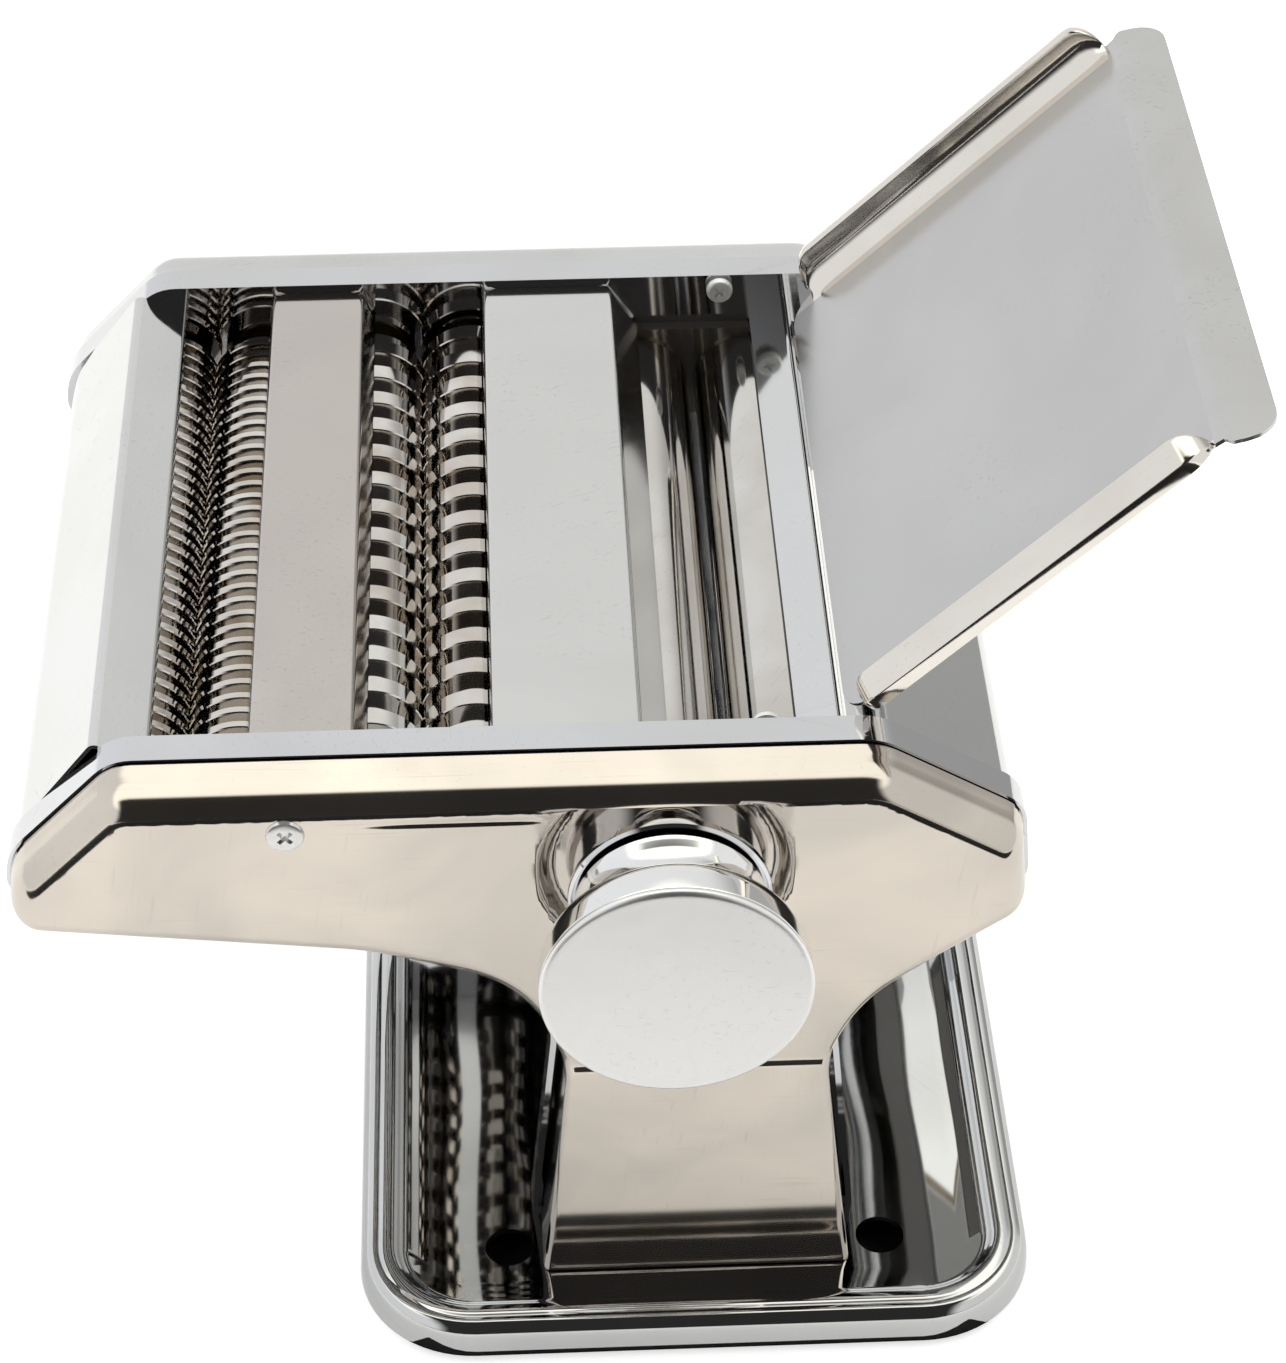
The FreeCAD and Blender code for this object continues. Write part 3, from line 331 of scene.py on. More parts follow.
def steel(name, light, dark, roughness, smear_scale=20.0, scratches=0.4, waves=0.05, grain=0.0,
          along=(1.0, 0.02, 1.0), metallic=1.0, underside_shade=1.0):
    """A metal finish. Its colour and roughness drift with the smears, and the scratches darken it;
    the sheet's waves and the grain are in the bump. An underside below 1 paints shade on what faces down."""
    material = bpy.data.materials.new(name)
    material.use_nodes = True
    tree = material.node_tree
    shader = tree.nodes["Principled BSDF"]
    shader.inputs["Metallic"].default_value = metallic
    lines = tree.nodes.new("ShaderNodeGroup")
    lines.node_tree = SCRATCHES
    lines.inputs["Amount"].default_value = 1.0
    lines.inputs["Turn"].default_value = len(name) * 0.37
    smear = tree.nodes.new("ShaderNodeGroup")
    smear.node_tree = SMEARS
    smear.inputs["Scale"].default_value = smear_scale
    mix = tree.nodes.new("ShaderNodeMix")
    mix.data_type = "RGBA"
    drift = tree.nodes.new("ShaderNodeMapRange")
    drift.inputs["From Min"].default_value = 0.35
    drift.inputs["From Max"].default_value = 0.65
    tree.links.new(smear.outputs["Cloud"], drift.inputs["Value"])
    tree.links.new(drift.outputs[0], mix.inputs["Factor"])
    mix.inputs[6].default_value = (*dark, 1)
    mix.inputs[7].default_value = (*light, 1)
    worn = tree.nodes.new("ShaderNodeMix")
    worn.data_type = "RGBA"
    worn.blend_type = "MULTIPLY"
    share = tree.nodes.new("ShaderNodeMath")
    share.operation = "MULTIPLY"
    share.inputs[1].default_value = scratches
    tree.links.new(lines.outputs["Lines"], share.inputs[0])
    tree.links.new(share.outputs[0], worn.inputs["Factor"])
    tree.links.new(mix.outputs[2], worn.inputs[6])
    worn.inputs[7].default_value = (*SCRATCH_TINT, 1)
    tinted = worn.outputs[2]
    # Painted shade: faces that point down are darkened towards the underside value.
    if underside_shade < 1.0:
        facing = tree.nodes.new("ShaderNodeNewGeometry")
        parts = tree.nodes.new("ShaderNodeSeparateXYZ")
        tree.links.new(facing.outputs["True Normal"], parts.inputs[0])
        down = tree.nodes.new("ShaderNodeMapRange")
        down.inputs["From Min"].default_value = -0.1
        down.inputs["From Max"].default_value = -0.4
        tree.links.new(parts.outputs["Z"], down.inputs["Value"])
        shade_below = tree.nodes.new("ShaderNodeMix")
        shade_below.data_type = "RGBA"
        shade_below.blend_type = "MULTIPLY"
        tree.links.new(down.outputs[0], shade_below.inputs["Factor"])
        tree.links.new(tinted, shade_below.inputs[6])
        shade_below.inputs[7].default_value = (underside_shade, underside_shade * 0.96, underside_shade * 0.92, 1)
        tinted = shade_below.outputs[2]
    tree.links.new(tinted, shader.inputs["Base Color"])
    rough = tree.nodes.new("ShaderNodeMapRange")
    rough.inputs["To Min"].default_value = roughness * 0.75
    rough.inputs["To Max"].default_value = roughness * 1.3
    tree.links.new(smear.outputs["Cloud"], rough.inputs["Value"])
    tree.links.new(rough.outputs[0], shader.inputs["Roughness"])
    normal = tree.nodes.new("ShaderNodeBump")
    normal.inputs["Strength"].default_value = 1.0
    normal.inputs["Distance"].default_value = waves * MM
    tree.links.new(smear.outputs["Waves"], normal.inputs["Height"])
    if grain > 0:
        fine = tree.nodes.new("ShaderNodeGroup")
        fine.node_tree = GRAIN
        fine.inputs["Along"].default_value = along
        second = tree.nodes.new("ShaderNodeBump")
        second.inputs["Strength"].default_value = grain
        second.inputs["Distance"].default_value = GRAIN_DEPTH * MM
        tree.links.new(fine.outputs["Grain"], second.inputs["Height"])
        tree.links.new(normal.outputs[0], second.inputs["Normal"])
        normal = second
    tree.links.new(normal.outputs[0], shader.inputs["Normal"])
    return material


WELD = 0.002
SHARP_FOLD = 28    # degrees


def shading_tree():
    """Welds a tool's separate faces into one skin and shades it smooth up to the sharp folds."""
    group = bpy.data.node_groups.new("welded_and_smooth", "GeometryNodeTree")
    group.interface.new_socket("Geometry", in_out="INPUT", socket_type="NodeSocketGeometry")
    group.interface.new_socket("Geometry", in_out="OUTPUT", socket_type="NodeSocketGeometry")
    given = group.nodes.new("NodeGroupInput")
    result = group.nodes.new("NodeGroupOutput")
    weld = group.nodes.new("GeometryNodeMergeByDistance")
    weld.inputs["Distance"].default_value = WELD * MM
    smooth = group.nodes.new("GeometryNodeSetShadeSmooth")
    sharp = group.nodes.new("GeometryNodeSetShadeSmooth")
    sharp.domain = "EDGE"
    sharp.inputs["Shade Smooth"].default_value = False
    angle = group.nodes.new("GeometryNodeInputMeshEdgeAngle")
    wide = group.nodes.new("FunctionNodeCompare")
    wide.operation = "GREATER_THAN"
    wide.inputs["B"].default_value = radians(SHARP_FOLD)
    group.links.new(given.outputs[0], weld.inputs["Geometry"])
    group.links.new(weld.outputs[0], smooth.inputs["Geometry"])
    group.links.new(smooth.outputs[0], sharp.inputs["Geometry"])
    group.links.new(angle.outputs["Unsigned Angle"], wide.inputs["A"])
    group.links.new(wide.outputs[0], sharp.inputs["Selection"])
    group.links.new(sharp.outputs[0], result.inputs[0])
    return group


SHADING = shading_tree()


def finish_node(name, material):
    """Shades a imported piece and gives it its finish; its mesh stays as it is."""
    node = nodes[name]
    node.data.materials.clear()
    node.data.materials.append(material)
    modifier = node.modifiers.new("shading", "NODES")
    modifier.node_group = SHADING
    weighted = node.modifiers.new("flat_faces", "WEIGHTED_NORMAL")
    weighted.keep_sharp = True


def piece_from(bm, name, materials):
    mesh = bpy.data.meshes.new(name)
    bm.to_mesh(mesh)
    bm.free()
    for material in materials:
        mesh.materials.append(material)
    piece = bpy.data.objects.new(name, mesh)
    scene.collection.objects.link(piece)
    return piece


def made_plain(piece):
    """Turns the piece and its modifiers into one plain mesh."""
    bpy.context.view_layer.update()
    old = piece.data
    mesh = bpy.data.meshes.new_from_object(piece.evaluated_get(bpy.context.evaluated_depsgraph_get()))
    piece.modifiers.clear()
    piece.data = mesh
    bpy.data.meshes.remove(old)


def thicken(piece, thickness):
    """Gives a sheet its thickness, away from the side that its faces point to."""
    wall = piece.modifiers.new("sheet", "SOLIDIFY")
    wall.thickness = thickness * MM
    wall.offset = -1.0
    made_plain(piece)


def cut_away(piece, tool, overlapping=False):
    """Takes the tool's solids out of the piece, and the tool out of the scene."""
    cut = piece.modifiers.new("cut", "BOOLEAN")
    cut.operation = "DIFFERENCE"
    cut.object = tool
    cut.solver = "EXACT"
    cut.use_self = overlapping
    made_plain(piece)
    bpy.data.objects.remove(tool)


def drill(piece, holes):
    """Round holes, each given by its middle, its axis, its radius and half its length."""
    bm = bmesh.new()
    for middle, axis, radius, reach in holes:
        turn = Matrix.Rotation(radians(90), 4, "X") if axis == "Y" else Matrix.Identity(4)
        bmesh.ops.create_cone(bm, cap_ends=True, segments=48, radius1=radius * MM, radius2=radius * MM,
                              depth=2 * reach * MM, matrix=Matrix.Translation(place(*middle)) @ turn)
    cut_away(piece, piece_from(bm, "drill", []))


def smooth_between(piece, degrees):
    """Smooth shading that breaks at folds sharper than the angle; flat faces stay flat."""
    bm = bmesh.new()
    bm.from_mesh(piece.data)
    for face in bm.faces:
        face.smooth = True
    for edge in bm.edges:
        edge.smooth = len(edge.link_faces) == 2 and edge.calc_face_angle(0.0) < radians(degrees)
    bm.to_mesh(piece.data)
    bm.free()
    weighted = piece.modifiers.new("flat_faces", "WEIGHTED_NORMAL")
    weighted.keep_sharp = True


def stack_of_rings(bm, rings):
    """Quads between successive rings of the same count of points; returns the last ring's points."""
    rows = [[bm.verts.new(place(*point)) for point in ring] for ring in rings]
    count = len(rows[0])
    for lower, upper in zip(rows, rows[1:]):
        for i in range(count):
            following = (i + 1) % count
            bm.faces.new((lower[i], lower[following], upper[following], upper[i]))
    return rows[-1]


def cut_into_grid(bm, faces, axis, positions):
    """Divides the faces by planes square to the axis, at the given distances from the middle."""
    normal = Vector([1.0 if i == axis else 0.0 for i in range(3)])
    parts = set(faces)
    for position in positions:
        point = place(*[position if i == axis else 0.0 for i in range(3)])
        crossing = [f for f in parts if f.is_valid
                    and min(v.co[axis] for v in f.verts) < point[axis] - 1e-7
                    and max(v.co[axis] for v in f.verts) > point[axis] + 1e-7]
        edges = {e for f in crossing for e in f.edges}
        points = {v for f in crossing for v in f.verts}
        cut = bmesh.ops.bisect_plane(bm, geom=list(points) + list(edges) + crossing, dist=1e-7,
                                     plane_co=point, plane_no=normal)
        parts.update(item for item in cut["geom"] if isinstance(item, bmesh.types.BMFace))
        parts = {f for f in parts if f.is_valid}
    return parts


BASE_HALF = (69.5, 116.0)
BASE_CORNER = 24.0
# Across the rim, from the hem under the skirt to the floor: distance in from the outer edge, height.
RIM_PROFILE = [(1.5, 1.05), (0.5, 1.0), (0.12, 1.3), (0.0, 1.9), (0.25, 4.6), (0.55, 6.2), (1.1, 7.6),
               (1.9, 8.6), (2.8, 9.0), (3.5, 9.02), (3.95, 8.86), (4.4, 9.02), (5.0, 9.3), (6.0, 9.4),
               (6.9, 9.28), (7.55, 8.9), (8.0, 8.2), (8.45, 7.55), (9.1, 7.12), (10.0, 7.0)]
FLOOR_REACH = (60.0, 106.0)    # half the flat floor, cut into cells
FLOOR_CELL = 5.0
FLOOR_WAVE = 0.10      # depth of the floor's waviness, which dies out towards the rim
WAVE_REACH = (59.5, 106.0)
WAVE_FADE = 8.0
FLOOR_SWELL = 26.0     # from one wave to the next
RIM_WAVE = 0.05
RIM_SWELL = 30.0
RIM_FROM_Z = 8.0
BASE_HOLES = [(x, y) for x in (-38.5, 38.5) for y in (-92.0, 92.0)]
BOLT_HOLES = [(x, y) for x in (-16.0, 16.0) for y in (-85.0, 85.0)]
BASE_SHEET = 1.2
BASE_HOLE_R = 5.0
BOLT_HOLE_R = 2.0
FLOOR_MIDDLE_Z = 6.5
HOLE_REACH = 3.0
CORNER_STEPS = 16


def rounded_rectangle(inset, height):
    half_x = BASE_HALF[0] - inset
    half_y = BASE_HALF[1] - inset
    corner = BASE_CORNER - inset
    ring = []
    corners = ((1, 1, 0), (-1, 1, 90), (-1, -1, 180), (1, -1, 270))
    for sx, sy, start in corners:
        for step in range(CORNER_STEPS + 1):
            angle = radians(start + 90 * step / CORNER_STEPS)
            ring.append((sx * (half_x - corner) + corner * cos(angle),
                         sy * (half_y - corner) + corner * sin(angle), height))
    return ring


def steps_between(low, high, size):
    count = ceil((high - low) / size)
    return [low + (high - low) * i / count for i in range(1, count)]


bm = bmesh.new()
inner_ring = stack_of_rings(bm, [rounded_rectangle(*pair) for pair in RIM_PROFILE])
base_floor = bm.faces.new(inner_ring)
bmesh.ops.recalc_face_normals(bm, faces=bm.faces)
base_floor.normal_update()
if base_floor.normal.z < 0:
    bmesh.ops.reverse_faces(bm, faces=bm.faces)
floor_parts = cut_into_grid(bm, [base_floor], 0, steps_between(-FLOOR_REACH[0], FLOOR_REACH[0], FLOOR_CELL))
cut_into_grid(bm, floor_parts, 1, steps_between(-FLOOR_REACH[1], FLOOR_REACH[1], FLOOR_CELL))
for vertex in bm.verts:
    x = (vertex.co.x - MIDDLE_X) / MM
    y = (vertex.co.y - MIDDLE_Y) / MM
    from_rim = min(WAVE_REACH[0] - abs(x), WAVE_REACH[1] - abs(y))
    inside = min(1.0, max(0.0, from_rim / WAVE_FADE))
    vertex.co.z += FLOOR_WAVE * MM * inside * noise.noise((x / FLOOR_SWELL, y / FLOOR_SWELL, 3.7))
    if vertex.co.z > RIM_FROM_Z * MM:
        vertex.co.z += RIM_WAVE * noise.noise((x / RIM_SWELL, y / RIM_SWELL, 9.1)) * MM
base_steel = steel("base_steel", (0.66, 0.665, 0.66), (0.60, 0.605, 0.60), 0.035, 14.0, 0.2, 0.02)
pressed_base = piece_from(bm, "pressed_base", [base_steel])
thicken(pressed_base, BASE_SHEET)
drill(pressed_base, [((x, y, FLOOR_MIDDLE_Z), "Z", BASE_HOLE_R, HOLE_REACH) for x, y in BASE_HOLES]
      + [((x, y, FLOOR_MIDDLE_Z), "Z", BOLT_HOLE_R, HOLE_REACH) for x, y in BOLT_HOLES])
smooth_between(pressed_base, 32)
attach(pressed_base, "frame")
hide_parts("base_tray")


# Rubber feet under the base: moulded, black, with a dull bloom. Screws and nuts hold the two side
# plates' feet down to the base.
def rubber():
    material = bpy.data.materials.new("foot_rubber")
    material.use_nodes = True
    tree = material.node_tree
    shader = tree.nodes["Principled BSDF"]
    cloud = tree.nodes.new("ShaderNodeGroup")
    cloud.node_tree = SMEARS
    cloud.inputs["Scale"].default_value = 90.0
    mix = tree.nodes.new("ShaderNodeMix")
    mix.data_type = "RGBA"
    mix.inputs[6].default_value = (0.022, 0.022, 0.022, 1)
    mix.inputs[7].default_value = (0.05, 0.05, 0.05, 1)
    tree.links.new(cloud.outputs["Cloud"], mix.inputs["Factor"])
    tree.links.new(mix.outputs[2], shader.inputs["Base Color"])
    shader.inputs["Roughness"].default_value = 0.65
    return material


finish_node("rubber_feet", rubber())
screw_steel = steel("screw_steel", (0.82, 0.82, 0.81), (0.74, 0.73, 0.72), 0.2, 200.0, 0.3, 0.0,
                    metallic=0.7)
finish_node("foot_screws", screw_steel)
finish_node("foot_nuts", screw_steel)


# Side plates: pans pressed from bright 1.2 mm sheet, held apart by four shouldered tie rods with
# hexagon nuts. Thinner guard plates close the roller chamber at its two ends.
plate_steel = steel("plate_steel", (0.68, 0.69, 0.71), (0.64, 0.64, 0.65), 0.06, 16.0, 0.3, 0.02)
guard_steel = steel("guard_steel", (0.34, 0.31, 0.28), (0.24, 0.215, 0.19), 0.10, 30.0, 0.3, 0.02,
                    metallic=0.85)
shaft_steel = steel("shaft_steel", (0.58, 0.58, 0.58), (0.48, 0.48, 0.48), 0.25, 40.0, 0.2, 0.0)
for name in ("front_side_plate", "rear_side_plate"):
    finish_node(name, plate_steel)
for name in ("front_end_guard", "rear_end_guard"):
    finish_node(name, guard_steel)
finish_node("tie_rods", shaft_steel)
finish_node("tie_rod_nuts", screw_steel)


# Covers: deep-drawn from 0.9 mm sheet and polished. The long edge is drawn over a wide soft bend, the
# stem has crisp edges and leans out to its foot, and the front one has a round dimple for the dial.
COVER_BACK = 82.3
COVER_INSET = 0.7
COVER_SHEET = 0.9
COVER_SHOULDER = 86.0      # where the flat top meets the bend
SHOULDER_DROP = 0.45       # how much lower the top is there than at its back edge
COVER_FACE = 94.0
STEM_TOP = 62.0
STEM_STEP = 0.5
STEM_LEAN = 4.0
STEM_INSET = 1.5           # how much further the stem stands in from the side plate's rim
STEM_TO_HEAD = (62.0, 84.0)    # heights over which the stem's inset dies out
FOOT_FLARE = 0.5           # the foot's edge turns out a little
COVER_FOOT = 7.3
WIDE_BEND = (5.0, 8.0)     # of the long edge: in from the outline, along the depth
TIGHT_BEND = (1.9, 2.2)    # of the stem's edges
TIGHT_TO_WIDE = (66.0, 86.0)   # heights over which one bend grows into the other
BEND_STEPS = 10
COVER_OUTLINE = [(-110.3, 135.0), (34.6, 135.0), (63.2, 117.2), (64.9, 97.5), (56.0, 91.0),
                 (33.0, 74.0), (28.6, 60.0), (34.83, -6.0), (-34.83, -6.0), (-28.6, 60.0), (-34.0, 80.5),
                 (-64.0, 90.8), (-133.0, 99.4), (-131.6, 112.6)]
COVER_CORNERS = [10, 15, 8.5, 8, 16, 26, 20, 0, 0, 20, 24, 60, 7.5, 14]
DIMPLE = (-6.6, 113.5, 24.5)
DIMPLE_TOP = 130.6
DIMPLE_FLOOR = 90.0
DIMPLE_EDGE = 3.3
DIMPLE_CELL = 0.85
COVER_CELL = 5.0
COVER_WAVE = 0.05
FRONT_LEAN = 0.5           # how far the front cover's face leans back at its top
CREASE_Z = 127.2           # a faint line that the drawing tool left under the bend
CREASE_FROM = -68.0
CREASE_TO = -24.0
CREASE_DEPTH = 0.2
DIAL_AXIS = (-5.8, 109.0)
COVER_POST = (-77.6, 125.4)
SOCKETS = [(20.0, 109.0), (-87.4, 114.5), (-41.7, 114.5)]
DIAL_HOLE_R = 8.0
SOCKET_HOLE_R = 7.0
SCREW_HOLE_R = 1.35
HEAD_RECESS_R = 4.3
DRILL_REACH = 6.0
RECESS_REACH = 2.1


def ease(value, low, high):
    share = min(1.0, max(0.0, (value - low) / (high - low)))
    return share * share * (3 - 2 * share)


def outline_with_normals(corners, radii, spacing):
    """Points along a rounded outline, each with the direction to its inside; clockwise from the front."""
    count = len(corners)
    stations = []
    for i in range(count):
        corner = Vector(corners[i])
        before = (Vector(corners[i - 1]) - corner).normalized()
        after = (Vector(corners[(i + 1) % count]) - corner).normalized()
        half_angle = before.angle(after) / 2
        in_before = Vector((-before.y, before.x))
        in_after = Vector((after.y, -after.x))
        if radii[i] <= 0:
            middle = (in_before + in_after).normalized()
            stations.append([(corner, middle)])
            continue
        radius = radii[i]
        centre = corner + (before + after).normalized() * (radius / sin(half_angle))
        first = corner + before * (radius / tan(half_angle)) - centre
        last = corner + after * (radius / tan(half_angle)) - centre
        turned_out = 1.0 if (first / radius + in_before).length < 0.1 else -1.0
        steps = max(4, ceil(first.angle(last) * radius / 1.6))
        arc = []
        for step in range(steps + 1):
            angle = -first.angle_signed(last) * step / steps
            spoke = Vector((first.x * cos(angle) - first.y * sin(angle),
                            first.x * sin(angle) + first.y * cos(angle)))
            arc.append((centre + spoke, -turned_out * spoke / radius))
        stations.append(arc)
    result = []
    for i in range(count):
        result += stations[i]
        start, direction = stations[i][-1]
        end, end_direction = stations[(i + 1) % count][0]
        pieces = max(1, ceil((end - start).length / spacing))
        for step in range(1, pieces):
            share = step / pieces
            result.append((start.lerp(end, share), direction.lerp(end_direction, share).normalized()))
    return result


def cover_face(z, top_lean):
    """How far out the cover's face is at a height."""
    lean = ease(z, 70.0, 129.0) * top_lean
    below = max(0.0, STEM_TOP - 0.6 - z) / (STEM_TOP - COVER_FOOT) * STEM_LEAN
    flare = FOOT_FLARE * (1 - ease(z, COVER_FOOT + 0.4, COVER_FOOT + 1.8))
    return COVER_FACE - lean + STEM_STEP * (1 - ease(z, STEM_TOP - 1.3, STEM_TOP)) + below + flare


def cover_shell(side, top_lean, dimpled):
    """One cover; side is -1 for the front one and 1 for the rear one."""
    around = outline_with_normals(COVER_OUTLINE, COVER_CORNERS, 4.0)
    rings = [[], []]
    for point, inward in around:
        slim = STEM_INSET * (1 - ease(point.y, *STEM_TO_HEAD))
        for ring, inset, depth in ((0, COVER_INSET + slim, COVER_BACK),
                                   (1, COVER_INSET + slim + SHOULDER_DROP * 0.6, COVER_SHOULDER - 1.4)):
            at = point + inward * inset
            rings[ring].append((at.x, side * depth, at.y))
    for step in range(BEND_STEPS + 1):
        angle = radians(90 * step / BEND_STEPS)
        ring = []
        for point, inward in around:
            wide = ease(point.y, *TIGHT_TO_WIDE)
            bend_in = TIGHT_BEND[0] + (WIDE_BEND[0] - TIGHT_BEND[0]) * wide
            bend_deep = TIGHT_BEND[1] + (WIDE_BEND[1] - TIGHT_BEND[1]) * wide
            slim = STEM_INSET * (1 - ease(point.y, *STEM_TO_HEAD))
            at = point + inward * (COVER_INSET + slim + SHOULDER_DROP + bend_in * (1 - cos(angle)))
            depth = cover_face(at.y, top_lean) - bend_deep * (1 - sin(angle))
            ring.append((at.x, side * depth, at.y))
        rings.append(ring)
    bm = bmesh.new()
    last = stack_of_rings(bm, rings)
    face = bm.faces.new(last)
    face.normal_update()
    bmesh.ops.recalc_face_normals(bm, faces=bm.faces)
    face.normal_update()
    if face.normal.y * side < 0:
        bmesh.ops.reverse_faces(bm, faces=bm.faces)
    parts = cut_into_grid(bm, [face], 0, steps_between(-134, 66, COVER_CELL))
    rows = steps_between(-6, 136, COVER_CELL)
    rows += [STEM_TOP - 1.9, STEM_TOP - 1.3, STEM_TOP - 0.9, STEM_TOP - 0.4, STEM_TOP + 0.1, STEM_TOP + 0.8]
    rows += [COVER_FOOT + step for step in (0.4, 0.9, 1.4, 1.9, 2.5)]
    if dimpled:
        rows += [CREASE_Z + step for step in (-1.2, -0.6, -0.2, 0.2, 0.6, 1.2)]
    parts = cut_into_grid(bm, parts, 2, sorted(rows))
    if dimpled:
        x, z, radius = DIMPLE
        reach = radius + 1.0
        near = [f for f in parts if (f.calc_center_median() - place(x, 0, z)).xz.length < (reach + 6) * MM]
        near = cut_into_grid(bm, near, 0, steps_between(x - reach, x + reach, DIMPLE_CELL))
        near = cut_into_grid(bm, near, 2, steps_between(z - reach, DIMPLE_TOP + 1, DIMPLE_CELL))
        parts = {f for f in parts | near if f.is_valid}
    for vertex in {v for f in parts for v in f.verts}:
        x = (vertex.co.x - MIDDLE_X) / MM
        z = vertex.co.z / MM
        depth = cover_face(z, top_lean)
        wave = COVER_WAVE * noise.noise((x / 30.0, z / 24.0, 5.3 * side))
        if dimpled:
            away = hypot(x - DIMPLE[0], z - DIMPLE[1])
            sunk = ease(DIMPLE[2] - away, -0.2, DIMPLE_EDGE) * ease(DIMPLE_TOP - z, -0.2, DIMPLE_EDGE * 0.8)
            depth += (DIMPLE_FLOOR - depth) * sunk
            wave *= 1 - sunk
            along = ease(x, CREASE_FROM, CREASE_FROM + 14) * (1 - ease(x, CREASE_TO - 14, CREASE_TO))
            depth -= CREASE_DEPTH * along * (1 - ease(abs(z - CREASE_Z), 0.1, 1.0)) * (1 - sunk)
        vertex.co.y = MIDDLE_Y + side * (depth + wave) * MM
    bmesh.ops.bisect_plane(bm, geom=bm.verts[:] + bm.edges[:] + bm.faces[:], dist=1e-7,
                           plane_co=place(0, 0, COVER_FOOT), plane_no=(0, 0, -1), clear_outer=True)
    return bm


front_cover_steel = steel("front_cover_steel", (0.685, 0.625, 0.55), (0.575, 0.53, 0.475),
                          0.10, 24.0, 0.25, 0.02)
rear_cover_steel = steel("rear_cover_steel", (0.68, 0.68, 0.68), (0.62, 0.62, 0.61), 0.10, 24.0, 0.5, 0.02)
front_cover = piece_from(cover_shell(-1, FRONT_LEAN, True), "drawn_front_cover", [front_cover_steel])
thicken(front_cover, COVER_SHEET)
drill(front_cover, [((DIAL_AXIS[0], -DIMPLE_FLOOR, DIAL_AXIS[1]), "Y", DIAL_HOLE_R, DRILL_REACH),
                    ((COVER_POST[0], -COVER_FACE, COVER_POST[1]), "Y", SCREW_HOLE_R, DRILL_REACH),
                    ((COVER_POST[0], -COVER_FACE - 1.0, COVER_POST[1]), "Y", HEAD_RECESS_R, RECESS_REACH)])
rear_cover = piece_from(cover_shell(1, 0.0, False), "drawn_rear_cover", [rear_cover_steel])
thicken(rear_cover, COVER_SHEET)
drill(rear_cover, [((x, COVER_FACE - 2.0, z), "Y", SOCKET_HOLE_R, DRILL_REACH) for x, z in SOCKETS]
      + [((COVER_POST[0], COVER_FACE, COVER_POST[1]), "Y", SCREW_HOLE_R, DRILL_REACH)])
for cover, node in ((front_cover, "front_cover"), (rear_cover, "rear_cover")):
    smooth_between(cover, 62)
    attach(cover, "frame")
    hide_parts(node)
finish_node("cover_posts", shaft_steel)


# Cross-head screws: plated steel, each with a flat head, a broken edge and a cross pressed into it.
# One through each cover runs into its post, and one holds each tongue of the tray to a side plate.
HEAD_SIDES = 40
COVER_HEAD = (3.7, 1.4)        # radius and height of the head
REAR_HEAD = (3.75, 1.5)
COVER_SEAT = -92.9
REAR_SEAT = 94.0
COVER_SHANK = 8.0


def skin_rows(bm, rows, sides):
    """Faces between neighbouring rows of points round an axis; a row of one point closes an end."""
    for lower, upper in zip(rows, rows[1:]):
        for i in range(sides):
            following = (i + 1) % sides
            corners = [lower[i % len(lower)], lower[following % len(lower)],
                       upper[following % len(upper)], upper[i % len(upper)]]
            bm.faces.new(list(dict.fromkeys(corners)))
    bmesh.ops.recalc_face_normals(bm, faces=bm.faces)


def cross_screw(name, middle, seat, side, size, shank, node):
    """One screw along Y, its head towards side."""
    x, z = middle
    head, height = size
    profile = [(0.0, -height), (head * 0.80, -height), (head * 0.92, -height * 0.86), (head, -height * 0.5),
               (head, 0.0), (head * 0.36, 0.0), (head * 0.36, shank), (0.0, shank)]
    bm = bmesh.new()
    rows = []
    for radius, back in profile:
        count = 1 if radius == 0 else HEAD_SIDES
        rows.append([bm.verts.new(place(x + radius * cos(2 * pi * i / HEAD_SIDES), seat - side * back,
                                        z + radius * sin(2 * pi * i / HEAD_SIDES))) for i in range(count)])
    skin_rows(bm, rows, HEAD_SIDES)
    screw = piece_from(bm, name, [screw_steel])
    bm = bmesh.new()
    arm = Vector((head * 0.95, height * 1.1, head * 0.24)) * MM
    for turn in (45, 135):
        box = Matrix.Translation(place(x, seat + side * height, z)) @ Matrix.Rotation(radians(turn), 4, "Y")
        bmesh.ops.create_cube(bm, size=1.0, matrix=box @ Matrix.Diagonal((*arm, 1)))
    cut_away(screw, piece_from(bm, "cross", []), overlapping=True)
    smooth_between(screw, 30)
    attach(screw, "frame")
    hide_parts(node)
    return screw


cross_screw("front_cover_screw", COVER_POST, COVER_SEAT, -1, COVER_HEAD, COVER_SHANK, "cover_screws")
cross_screw("rear_cover_screw", COVER_POST, REAR_SEAT, 1, REAR_HEAD, COVER_SHANK, "cover_screws")


# Sheet panels and strips between the side plates: bright end panels, and brushed strips whose edges
# turn down beside the cutters and the rollers.
SHADED_SIDE = 0.12      # what light is left under the sheets
# The end panels, the roller guide and the strips are darkened on their faces that point down: painted shade
# under the sheets.
panel_steel = steel("panel_steel", (0.71, 0.71, 0.71), (0.67, 0.67, 0.66), 0.08, 16.0, 0.3, 0.02,
                    underside_shade=SHADED_SIDE)
narrow_strip_steel = steel("narrow_strip_steel", (0.60, 0.565, 0.53), (0.555, 0.52, 0.49), 0.12, 18.0, 0.35,
                           0.02, 0.10, underside_shade=SHADED_SIDE)
wide_strip_steel = steel("wide_strip_steel", (0.69, 0.69, 0.68), (0.66, 0.66, 0.65), 0.12, 18.0, 0.35, 0.02,
                         0.10, underside_shade=SHADED_SIDE)
for name in ("left_end_panel", "right_end_panel", "roller_guide"):
    finish_node(name, panel_steel)
STRIP_HALF = 75.0
STRIP_SHEET = 0.8
STRIP_CORNER = 2.4
